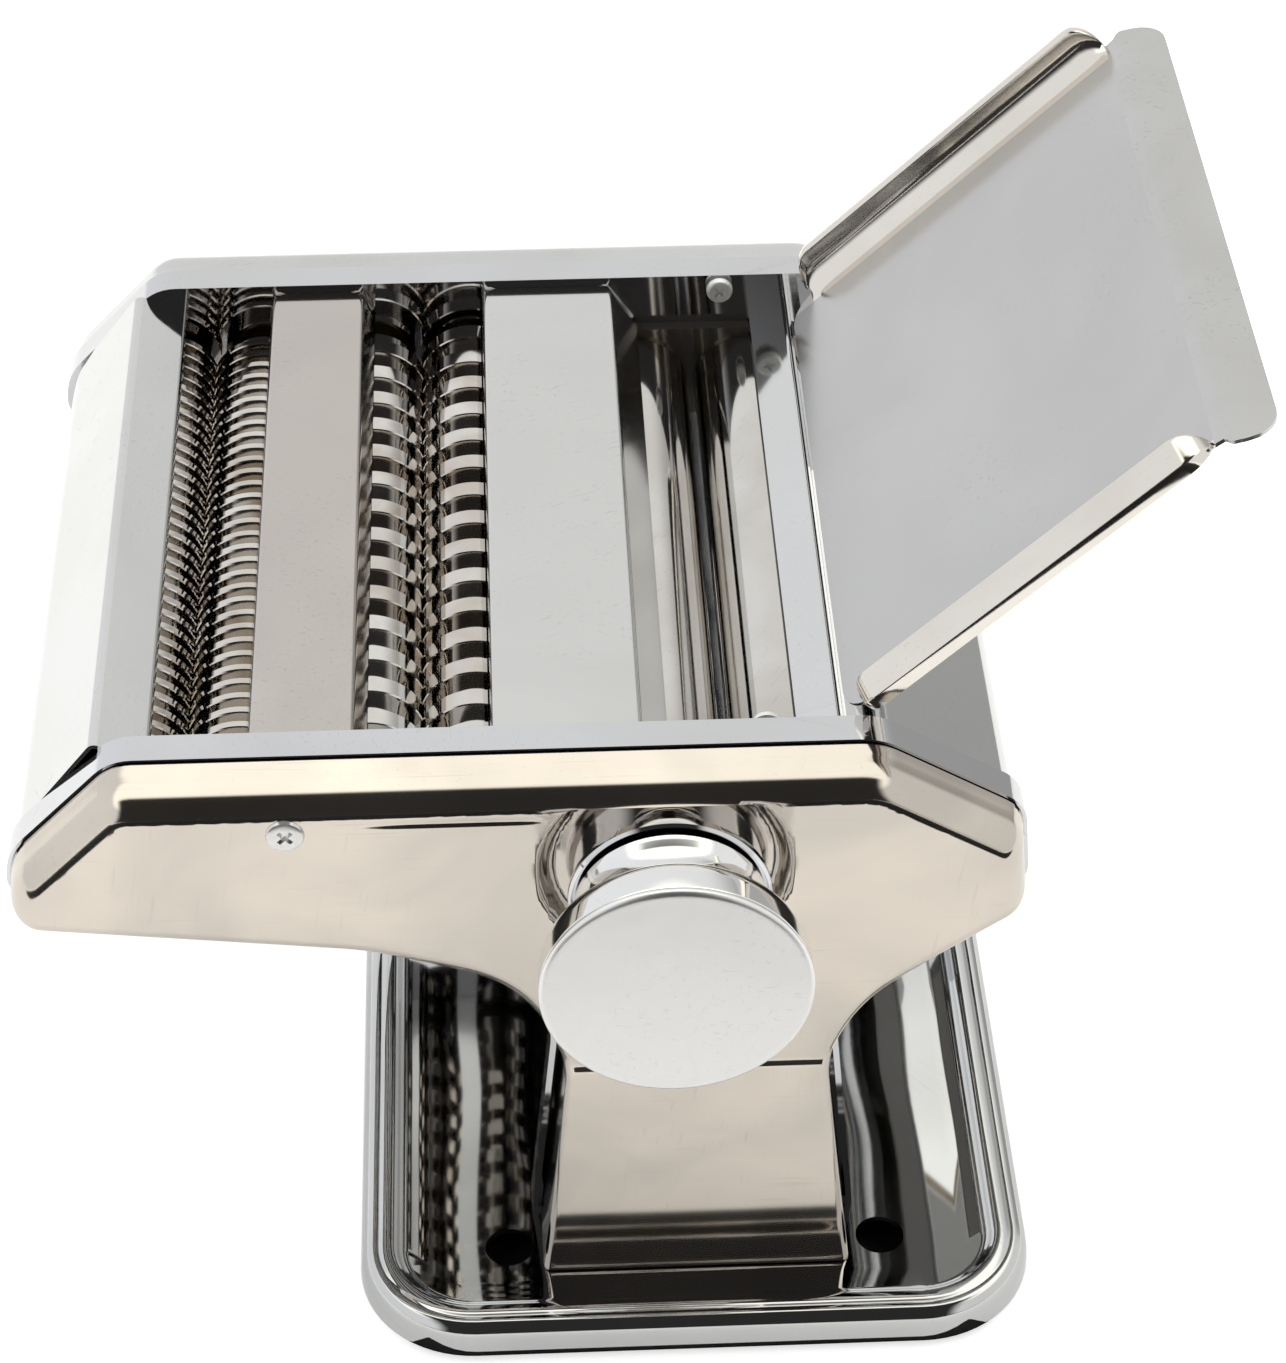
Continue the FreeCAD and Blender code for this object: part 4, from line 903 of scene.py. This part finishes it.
NARROW_STRIP = [(-85.0, 126.4), (-84.9, 131.6), (-84.6, 132.5), (-83.8, 133.0), (-65.7, 133.0),
                (-65.0, 132.6), (-64.5, 131.8), (-62.6, 127.2)]
WIDE_STRIP = [(-39.0, 126.2), (-38.8, 131.6), (-38.5, 132.5), (-37.7, 133.0), (-11.1, 133.0), (-10.4, 132.6),
              (-9.9, 131.8), (-4.8, 123.8)]


def bent_strip(path):
    """A strip whose two far corners are a little rounded, as the punch leaves them."""
    bm = bmesh.new()
    rows = []
    top_left, top_right = path[3][0], path[4][0]
    middle = (top_left + top_right) / 2
    reach = abs(top_right - top_left) / 2
    for y in (-STRIP_HALF, -30.0, 30.0, *(STRIP_HALF - short for short in (STRIP_CORNER, 0.9, 0.25, 0.05))):
        back = max(0.0, y - (STRIP_HALF - STRIP_CORNER)) / STRIP_CORNER
        drawn_in = STRIP_CORNER * (1 - sqrt(max(0.0, 1 - back ** 2)))
        rows.append([bm.verts.new(place(middle + (x - middle) * (1 - drawn_in / reach), y, z))
                     for x, z in path])
    for near, far in zip(rows, rows[1:]):
        for i in range(len(path) - 1):
            bm.faces.new((near[i], near[i + 1], far[i + 1], far[i]))
    bmesh.ops.recalc_face_normals(bm, faces=bm.faces)
    top = max(bm.faces, key=lambda face: face.calc_area())
    if top.normal.z < 0:
        bmesh.ops.reverse_faces(bm, faces=bm.faces)
    return bm


for name, path, finish in (("narrow_strip", NARROW_STRIP, narrow_strip_steel),
                           ("wide_strip", WIDE_STRIP, wide_strip_steel)):
    strip = piece_from(bent_strip(path), f"brushed_{name}", [finish])
    thicken(strip, STRIP_SHEET)
    smooth_between(strip, 40)
    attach(strip, "frame")
    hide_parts(name)


# Smooth rollers: ground steel bars on shafts that run in bronze bushes and in sliding blocks, geared
# together at the rear, each with a scraper blade under it.
roller_steel = steel("roller_steel", (0.70, 0.68, 0.65), (0.60, 0.575, 0.54), 0.07, 30.0, 0.3, 0.01, 0.15)
gear_steel = steel("gear_steel", (0.46, 0.45, 0.43), (0.34, 0.33, 0.31), 0.32, 60.0, 0.2, 0.0)
bush_bronze = steel("bush_bronze", (0.70, 0.52, 0.28), (0.60, 0.43, 0.22), 0.3, 60.0, 0.2, 0.0)
scraper_steel = steel("scraper_steel", (0.50, 0.49, 0.47), (0.42, 0.41, 0.39), 0.2, 40.0, 0.2, 0.0)
for name in ("fixed_roller", "moving_roller"):
    finish_node(name, roller_steel)
    finish_node(f"{name}_shaft", shaft_steel)
    finish_node(f"{name}_gear", gear_steel)
    finish_node(f"{name}_scraper", scraper_steel)
for name in ("front_bushes", "rear_bushes"):
    finish_node(name, bush_bronze)
for name in ("front_bearing_block", "rear_bearing_block"):
    finish_node(name, shaft_steel)


# Cutters: two pairs of ringed rollers, turned from steel, the rings of one running in the grooves of
# the other. Combs under them strip the cut dough.
CUTTER_Z = 114.5
CUTTER_END = 72.4
CORE_R = 9.0
RING_R = 11.2
RING_EDGE = 0.22
RING_PLAY = 0.2        # between a ring and its groove
END_PLAY = 0.3         # from the last ring to the cutter's end
PAIRS = {"fine": (-98.0, 4.3), "wide": (-52.3, 9.6)}   # where each pair meets, and the step of its rings
CUTTER_HALF = 10.6     # from there to each cutter's axis
RING_SIDES = 64


def ring_tree():
    """A core bar along Y with rings at equal steps."""
    tree = bpy.data.node_groups.new("ringed_cutter", "GeometryNodeTree")
    sizes = (("Axis", "NodeSocketVector"), ("Pitch", "NodeSocketFloat"), ("Rings", "NodeSocketInt"),
             ("First Ring", "NodeSocketFloat"), ("Ring Width", "NodeSocketFloat"),
             ("Ring Radius", "NodeSocketFloat"), ("Core Radius", "NodeSocketFloat"),
             ("Core Length", "NodeSocketFloat"), ("Steel", "NodeSocketMaterial"))
    tree.interface.new_socket("Geometry", in_out="INPUT", socket_type="NodeSocketGeometry")
    for label, kind in sizes:
        tree.interface.new_socket(label, in_out="INPUT", socket_type=kind)
    tree.interface.new_socket("Geometry", in_out="OUTPUT", socket_type="NodeSocketGeometry")
    given = tree.nodes.new("NodeGroupInput").outputs
    result = tree.nodes.new("NodeGroupOutput")

    def node(kind, **links):
        made = tree.nodes.new(kind)
        for label, source in links.items():
            socket = made.inputs[label.replace("_", " ")]
            if isinstance(source, bpy.types.NodeSocket):
                tree.links.new(source, socket)
            else:
                socket.default_value = source
        return made

    disc = node("GeometryNodeMeshCylinder", Vertices=RING_SIDES, Radius=given["Ring Radius"],
                Depth=given["Ring Width"])
    disc.fill_type = "NGON"
    upright = node("GeometryNodeTransform", Geometry=disc.outputs["Mesh"], Rotation=(radians(90), 0, 0))
    step = node("ShaderNodeCombineXYZ", Y=given["Pitch"])
    first = node("ShaderNodeCombineXYZ", Y=given["First Ring"])
    start = node("ShaderNodeVectorMath")
    start.operation = "ADD"
    tree.links.new(given["Axis"], start.inputs[0])
    tree.links.new(first.outputs[0], start.inputs[1])
    row = node("GeometryNodeMeshLine", Count=given["Rings"], Start_Location=start.outputs[0],
               Offset=step.outputs[0])
    rings = node("GeometryNodeInstanceOnPoints", Points=row.outputs[0], Instance=upright.outputs[0])
    core = node("GeometryNodeMeshCylinder", Vertices=RING_SIDES, Radius=given["Core Radius"],
                Depth=given["Core Length"])
    core_along = node("GeometryNodeTransform", Geometry=core.outputs["Mesh"], Rotation=(radians(90), 0, 0),
                      Translation=given["Axis"])
    together = tree.nodes.new("GeometryNodeJoinGeometry")
    tree.links.new(core_along.outputs[0], together.inputs[0])
    tree.links.new(rings.outputs[0], together.inputs[0])
    real = node("GeometryNodeRealizeInstances", Geometry=together.outputs[0])
    coloured = node("GeometryNodeSetMaterial", Geometry=real.outputs[0], Material=given["Steel"])
    tree.links.new(coloured.outputs[0], result.inputs[0])
    return tree


def give_sizes(modifier, **sizes):
    """Sets a modifier's named inputs by their identifiers."""
    for item in modifier.node_group.interface.items_tree:
        label = item.name.replace(" ", "_")
        if item.in_out == "INPUT" and label in sizes:
            modifier[item.identifier] = sizes[label]


# The cutters are darkened on their faces that point down: painted shade under the rings.
cutter_steel = steel("cutter_steel", (0.76, 0.74, 0.71), (0.58, 0.53, 0.47), 0.08, 60.0, 0.2, 0.004,
                     underside_shade=0.3)
# The core between the rings and the rings' flat sides are dark brown: painted shade between the rings.
groove_steel = steel("groove_steel", (0.24, 0.20, 0.155), (0.13, 0.105, 0.08), 0.14, 60.0, 0.2, 0.004)
comb_steel = steel("comb_steel", (0.80, 0.80, 0.79), (0.72, 0.72, 0.71), 0.25, 40.0, 0.2, 0.0,
                   metallic=0.6)
COMB_BARS = {"left": (-12.2, -8.2), "right": (1.5, 6.0)}   # from the line where a pair meets
COMB_LOW = 99.6
COMB_HIGH = 101.2
FINGER_TOP = 104.9
FINGER_PLAY = 0.4      # from a finger to the ring on each side
COMB_PAST = 2.5        # how far a comb runs past the cutter's end


def comb_tree():
    """A flat bar along Y with a finger standing in each groove."""
    tree = bpy.data.node_groups.new("stripper_comb", "GeometryNodeTree")
    tree.interface.new_socket("Geometry", in_out="INPUT", socket_type="NodeSocketGeometry")
    for label, kind in (("Bar Middle", "NodeSocketVector"), ("Bar Size", "NodeSocketVector"),
                        ("First Finger", "NodeSocketVector"), ("Finger Size", "NodeSocketVector"),
                        ("Pitch", "NodeSocketFloat"), ("Fingers", "NodeSocketInt"),
                        ("Steel", "NodeSocketMaterial")):
        tree.interface.new_socket(label, in_out="INPUT", socket_type=kind)
    tree.interface.new_socket("Geometry", in_out="OUTPUT", socket_type="NodeSocketGeometry")
    given = tree.nodes.new("NodeGroupInput").outputs
    result = tree.nodes.new("NodeGroupOutput")
    bar = tree.nodes.new("GeometryNodeMeshCube")
    finger = tree.nodes.new("GeometryNodeMeshCube")
    moved = tree.nodes.new("GeometryNodeTransform")
    step = tree.nodes.new("ShaderNodeCombineXYZ")
    row = tree.nodes.new("GeometryNodeMeshLine")
    fingers = tree.nodes.new("GeometryNodeInstanceOnPoints")
    together = tree.nodes.new("GeometryNodeJoinGeometry")
    real = tree.nodes.new("GeometryNodeRealizeInstances")
    coloured = tree.nodes.new("GeometryNodeSetMaterial")
    for source, socket in ((given["Bar Size"], bar.inputs["Size"]),
                           (given["Finger Size"], finger.inputs["Size"]),
                           (bar.outputs["Mesh"], moved.inputs["Geometry"]),
                           (given["Bar Middle"], moved.inputs["Translation"]),
                           (given["Pitch"], step.inputs["Y"]), (given["Fingers"], row.inputs["Count"]),
                           (given["First Finger"], row.inputs["Start Location"]),
                           (step.outputs[0], row.inputs["Offset"]),
                           (row.outputs[0], fingers.inputs["Points"]),
                           (finger.outputs["Mesh"], fingers.inputs["Instance"]),
                           (moved.outputs[0], together.inputs[0]), (fingers.outputs[0], together.inputs[0]),
                           (together.outputs[0], real.inputs[0]), (real.outputs[0], coloured.inputs[0]),
                           (given["Steel"], coloured.inputs["Material"]),
                           (coloured.outputs[0], result.inputs[0])):
        tree.links.new(source, socket)
    return tree


COMBED = comb_tree()
RINGED = ring_tree()
for pair, (nip, pitch) in PAIRS.items():
    for side, sign in (("left", -1), ("right", 1)):
        axis = place(nip + sign * CUTTER_HALF, 0, CUTTER_Z)
        width = pitch / 2 - RING_PLAY
        steps = int((2 * CUTTER_END - 2.0) / pitch)
        first = -steps * pitch / 2 + sign * pitch / 4
        middles = [first + i * pitch for i in range(steps + 1)]
        middles = [y for y in middles if abs(y) + width / 2 <= CUTTER_END - END_PLAY]
        cutter = bpy.data.objects.new(f"ringed_{pair}_cutter_{side}", bpy.data.meshes.new("cutter"))
        scene.collection.objects.link(cutter)
        rings = cutter.modifiers.new("rings", "NODES")
        rings.node_group = RINGED
        give_sizes(rings, Axis=axis, Pitch=pitch * MM, Rings=len(middles), First_Ring=middles[0] * MM,
                   Ring_Width=width * MM, Ring_Radius=RING_R * MM, Core_Radius=CORE_R * MM,
                   Core_Length=2 * CUTTER_END * MM, Steel=cutter_steel)
        made_plain(cutter)
        bm = bmesh.new()
        bm.from_mesh(cutter.data)
        outer = [e for e in bm.edges if len(e.link_faces) == 2 and e.calc_face_angle(0) > radians(69)
                 and min((v.co - axis).xz.length for v in e.verts) > (CORE_R + 1) * MM]
        bmesh.ops.bevel(bm, geom=outer, offset=RING_EDGE * MM, segments=1, affect="EDGES")
        # Faces near the axis, the core and the rings' flat sides, take the dark groove material: painted
        # shade between the rings.
        for face in bm.faces:
            from_axis = (face.calc_center_median() - axis).xz.length
            face.material_index = 1 if from_axis < (CORE_R + 0.1) * MM else 0
        bm.to_mesh(cutter.data)
        bm.free()
        cutter.data.materials.clear()
        cutter.data.materials.append(cutter_steel)
        cutter.data.materials.append(groove_steel)
        smooth_between(cutter, 30)
        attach(cutter, f"{pair}_{side}_set")
        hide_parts(f"{pair}_cutter_{side}")
        finish_node(f"{pair}_shaft_{side}", shaft_steel)
        finish_node(f"{pair}_gear_{side}", gear_steel)
        low, high = COMB_BARS[side]
        middle_x = nip + (low + high) / 2
        comb = bpy.data.objects.new(f"{pair}_stripper_{side}", bpy.data.meshes.new("comb"))
        scene.collection.objects.link(comb)
        teeth = comb.modifiers.new("fingers", "NODES")
        teeth.node_group = COMBED
        first_finger = middles[0] + pitch / 2
        give_sizes(teeth, Bar_Middle=place(middle_x, 0, (COMB_LOW + COMB_HIGH) / 2),
                   Bar_Size=Vector((high - low, 2 * (CUTTER_END + COMB_PAST), COMB_HIGH - COMB_LOW)) * MM,
                   First_Finger=place(middle_x, first_finger, (COMB_HIGH + FINGER_TOP) / 2 - 0.1),
                   Finger_Size=Vector((high - low, pitch - width - 2 * FINGER_PLAY,
                                       FINGER_TOP - COMB_HIGH + 0.2)) * MM,
                   Pitch=pitch * MM, Fingers=len(middles) - 1, Steel=comb_steel)
        made_plain(comb)
        smooth_between(comb, 30)
        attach(comb, "frame")
        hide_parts(f"{pair}_comb_{side}")


# Dial: a chromed knob turned to a waist and a wide drum, with a satin cap pressed into its face. It
# slides on the cam's shaft against a spring, and a pin locks it in the index ring.
KNOB_SIDES = 128
# Radius and place along Y: round the drum, then back through its hollow and its bore.
KNOB_PROFILE = [(17.0, -98.0), (18.1, -98.15), (18.4, -98.7), (18.1, -99.6), (17.5, -100.6),
                (17.05, -101.8), (16.9, -103.0), (16.9, -104.2), (17.0, -105.4), (17.45, -106.7),
                (18.2, -108.0), (19.4, -109.3), (20.8, -110.4), (22.2, -111.2), (23.4, -111.9),
                (24.3, -112.8), (24.9, -113.8), (25.35, -115.2), (25.5, -116.6), (25.5, -120.1),
                (25.35, -120.4), (23.6, -120.4), (23.6, -117.0), (9.2, -117.0), (9.2, -103.0),
                (4.05, -103.0), (4.05, -98.0)]
CAP_PROFILE = [(0.0, -118.4), (23.4, -118.4), (23.6, -120.42), (25.3, -120.42), (25.48, -120.7),
               (25.5, -121.1), (25.42, -121.45), (25.2, -121.75), (24.9, -121.93), (24.5, -122.0),
               (23.9, -121.98), (22.0, -121.95), (12.0, -121.9), (0.0, -121.88)]


def turned_piece(name, profile, material, node):
    """A solid turned about the dial's axis; a profile that starts off the axis is a ring."""
    bm = bmesh.new()
    axis = place(DIAL_AXIS[0], 0, DIAL_AXIS[1])
    rows = []
    for radius, y in profile:
        row = []
        for side in range(1 if radius == 0 else KNOB_SIDES):
            angle = 2 * pi * side / KNOB_SIDES
            row.append(bm.verts.new(axis + Vector((radius * cos(angle), y, radius * sin(angle))) * MM))
        rows.append(row)
    if profile[0][0] > 0:
        rows.append(rows[0])
    skin_rows(bm, rows, KNOB_SIDES)
    piece = piece_from(bm, name, [material])
    smooth_between(piece, 30)
    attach(piece, "dial")
    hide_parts(node)


knob_chrome = steel("knob_chrome", (0.84, 0.845, 0.84), (0.78, 0.78, 0.775), 0.06, 30.0, 0.25, 0.02)
cap_satin = steel("cap_satin", (0.90, 0.89, 0.88), (0.83, 0.825, 0.815), 0.40, 60.0, 0.3, 0.0)
turned_piece("knob_drum", KNOB_PROFILE, knob_chrome, "dial_knob")
turned_piece("knob_cap", CAP_PROFILE, cap_satin, "dial_cap")
finish_node("index_ring", plate_steel)
finish_node("cam_shaft", shaft_steel)
finish_node("locking_pin", screw_steel)
finish_node("dial_spring", screw_steel)


# Feed tray: one satin sheet on a slope, its two sides rolled over into hollow beads and its top edge
# turned out as a flap. A tongue on each side holds it to the side plates with one screw.
TRAY_SLOPE = radians(44.6)
TRAY_FOOT = (29.2, 129.6)
TRAY_LENGTH = 93.7
TRAY_SHEET = 0.8
FLAP_LENGTH = 9.4
FLAP_TURN = radians(31)
FLAP_HALF = 72.6
FLAP_CORNER = 6.5
FOOT_HALF = 69.0
FOOT_CORNER = 7.0
LIP_FROM = 6.0
LIP_TO = 90.5
LIP_TAPER = 5.0
FLAP_START = 1.4       # from the end of the beads to where the flap starts to turn
FLAP_BEND_STEP = 0.6
FLAP_BEND_STEPS = 6
FLAP_WIDENS = 2.2      # how much wider it is than the plate between the beads
PLATE_HALF = 66.2
PLATE_CELL = 8.0
LIP_EASE = (0.15, 0.5, 1.1, 2.0, 3.3, LIP_TAPER)   # rows over which a bead rises or falls
# Half the section across the tray: distance from its middle, height above the plate.
FAR_LIP = [(65.4, 0.0), (66.8, 0.1), (68.2, 0.5), (69.4, 1.25), (70.3, 2.3), (70.9, 3.6), (71.3, 5.0),
           (71.6, 6.7), (71.75, 7.3), (72.1, 7.65), (72.7, 7.75), (73.5, 7.65), (74.4, 7.35), (75.2, 6.9),
           (75.9, 6.3), (76.45, 5.6), (76.8, 5.0), (76.9, 4.3), (76.9, 3.2), (76.8, 2.2)]
NEAR_LIP = [(69.0, 0.0), (69.6, 0.05), (70.2, 0.2), (70.7, 0.6), (71.0, 1.2), (71.1, 2.2), (71.15, 4.0),
            (71.2, 6.6), (71.3, 7.3), (71.6, 7.65), (72.0, 7.68), (72.4, 7.55), (73.6, 6.95), (74.8, 6.3),
            (75.8, 5.75), (76.5, 5.35), (76.78, 5.1), (76.88, 4.8), (76.9, 3.6), (76.8, 2.2)]
TONGUE = [(7.8, 126.3), (7.8, 136.9), (19.4, 136.9), (21.0, 134.0), (29.5, 134.0), (35.6, 140.6),
          (38.0, 138.6), (31.0, 132.5), (19.5, 126.3)]
TONGUE_CORNERS = [5.6, 5.6, 4.5, 2, 6, 0, 3, 6, 5.6]
TONGUE_OUT = 74.85
TONGUE_HOLE_R = 1.7
TRAY_SCREW = (13.5, 132.0)
TRAY_SCREW_SEAT = 74.05
TRAY_HEAD = (2.9, 1.5)
TRAY_SHANK = 4.0


def on_tray(along, across, height):
    """A point of the sloping tray, from its foot's middle."""
    return place(TRAY_FOOT[0] + along * cos(TRAY_SLOPE) - height * sin(TRAY_SLOPE), across,
                 TRAY_FOOT[1] + along * sin(TRAY_SLOPE) + height * cos(TRAY_SLOPE))


def tray_sheet():
    """Rows along the slope; each is the whole section from one bead's edge to the other's."""
    flat = [PLATE_CELL * i for i in range(-8, 9)]
    stations = [0.0, 0.3, 1.0, 2.0, 3.4, 5.0, LIP_FROM, *(LIP_FROM + up for up in LIP_EASE)]
    stations += [20.0, 32.0, 44.0, 56.0, 68.0, 78.0]
    stations += [*(LIP_TO - down for down in reversed(LIP_EASE)), LIP_TO]
    bm = bmesh.new()
    rows = []
    for s in stations:
        plate_half = FOOT_HALF
        if s < FOOT_CORNER:
            plate_half = FOOT_HALF - FOOT_CORNER + sqrt(FOOT_CORNER ** 2 - (FOOT_CORNER - s) ** 2)
        up = 0.0
        if LIP_FROM < s < LIP_TO:
            share = min(1.0, (s - LIP_FROM) / LIP_TAPER, (LIP_TO - s) / LIP_TAPER)
            up = sqrt(1 - (1 - share) ** 2)
        edge = plate_half if s < LIP_TO - 4 else FLAP_HALF - FLAP_WIDENS
        halves = []
        for section in (NEAR_LIP, FAR_LIP):
            half = []
            for across, height in section:
                base = min(across, edge)
                half.append((base + (across - base) * up, height * up))
            halves.append(half)
        row = [(-y, h) for y, h in reversed(halves[0])]
        row += [(y * min(1, plate_half / PLATE_HALF), 0.0) for y in flat]
        row += halves[1]
        rows.append([bm.verts.new(on_tray(s, y, h)) for y, h in row])
    for low, high in zip(rows, rows[1:]):
        for i in range(len(low) - 1):
            face = bm.faces.new((low[i], low[i + 1], high[i + 1], high[i]))
            in_lip = i < len(NEAR_LIP) - 1 or i >= len(low) - len(FAR_LIP)
            face.material_index = 1 if in_lip else 0
    flap_rows = [rows[-1]]
    spread = [(v.co.y - MIDDLE_Y) / MM for v in rows[-1]]
    widest = max(spread)
    at = Vector((LIP_TO + FLAP_START, 0.0))
    travelled = 0.0
    bends = [(FLAP_BEND_STEP, FLAP_TURN * (i + 1) / FLAP_BEND_STEPS) for i in range(FLAP_BEND_STEPS)]
    straight = TRAY_LENGTH + FLAP_LENGTH - LIP_TO - FLAP_START - FLAP_BEND_STEP * FLAP_BEND_STEPS
    ends = [(length, FLAP_TURN) for length in (straight - FLAP_CORNER, 2.2, 1.6, 1.2, 0.8, 0.45, 0.25)]
    total = sum(length for length, _ in bends + ends)
    for length, turn in bends + ends:
        at = at + Vector((cos(turn), -sin(turn))) * length
        travelled += length
        left = total - travelled
        half_width = FLAP_HALF
        if left < FLAP_CORNER:
            half_width += sqrt(max(0.0, FLAP_CORNER ** 2 - (FLAP_CORNER - left) ** 2)) - FLAP_CORNER
        elif travelled < 2.5:
            half_width -= FLAP_WIDENS * (1 - ease(travelled, 0.0, 2.4))
        flap_rows.append([bm.verts.new(on_tray(at.x, y / widest * half_width, at.y)) for y in spread])
    for low, high in zip(flap_rows, flap_rows[1:]):
        for i in range(len(low) - 1):
            bm.faces.new((low[i], low[i + 1], high[i + 1], high[i])).material_index = 2
    bmesh.ops.remove_doubles(bm, verts=bm.verts, dist=2e-6)
    bmesh.ops.dissolve_degenerate(bm, edges=bm.edges, dist=2e-6)
    bmesh.ops.recalc_face_normals(bm, faces=bm.faces)
    middle = min(bm.faces, key=lambda f: (f.calc_center_median() - on_tray(45, 0, 0)).length)
    if middle.normal.z < 0:
        bmesh.ops.reverse_faces(bm, faces=bm.faces)
    return bm


plated_steel = steel("plated_steel", (0.90, 0.90, 0.88), (0.80, 0.80, 0.78), 0.3, 200.0, 0.3, 0.0,
                     metallic=0.3)
tray_steel = steel("tray_steel", (0.585, 0.58, 0.57), (0.55, 0.545, 0.535), 0.17, 18.0, 0.3, 0.02, 0.10,
                   along=(0.02, 1.0, 1.0))
lip_steel = steel("lip_steel", (0.80, 0.76, 0.70), (0.74, 0.70, 0.64), 0.08, 30.0, 0.3, 0.02)
flap_steel = steel("flap_steel", (0.60, 0.595, 0.585), (0.56, 0.555, 0.54), 0.15, 30.0, 0.4, 0.02)
tray = piece_from(tray_sheet(), "rolled_tray", [tray_steel, lip_steel, flap_steel])
thicken(tray, TRAY_SHEET)
smooth_between(tray, 30)
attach(tray, "frame")


def tongue_sheet(side):
    """The tongue's outline as one upright face, turned outwards."""
    bm = bmesh.new()
    ring = outline_with_normals(TONGUE, TONGUE_CORNERS, 50.0)
    face = bm.faces.new([bm.verts.new(place(p.x, side * TONGUE_OUT, p.y)) for p, _ in ring])
    face.normal_update()
    if face.normal.y * side < 0:
        face.normal_flip()
    return bm


tongue_steel = steel("tongue_steel", (0.60, 0.58, 0.55), (0.50, 0.48, 0.45), 0.2, 40.0, 0.3, 0.01,
                     metallic=0.5)
for side, label in ((-1, "front"), (1, "rear")):
    tongue = piece_from(tongue_sheet(side), f"{label}_tray_tongue", [tongue_steel])
    thicken(tongue, TRAY_SHEET)
    drill(tongue, [((TRAY_SCREW[0], side * TONGUE_OUT, TRAY_SCREW[1]), "Y", TONGUE_HOLE_R, 2.0)])
    smooth_between(tongue, 30)
    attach(tongue, "frame")
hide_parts("feed_tray")
for side, label in ((-1, "front"), (1, "rear")):
    screw = cross_screw(f"{label}_tray_screw", TRAY_SCREW, side * TRAY_SCREW_SEAT, -side, TRAY_HEAD,
                        TRAY_SHANK, "tray_screws")
    screw.data.materials.clear()
    screw.data.materials.append(plated_steel)
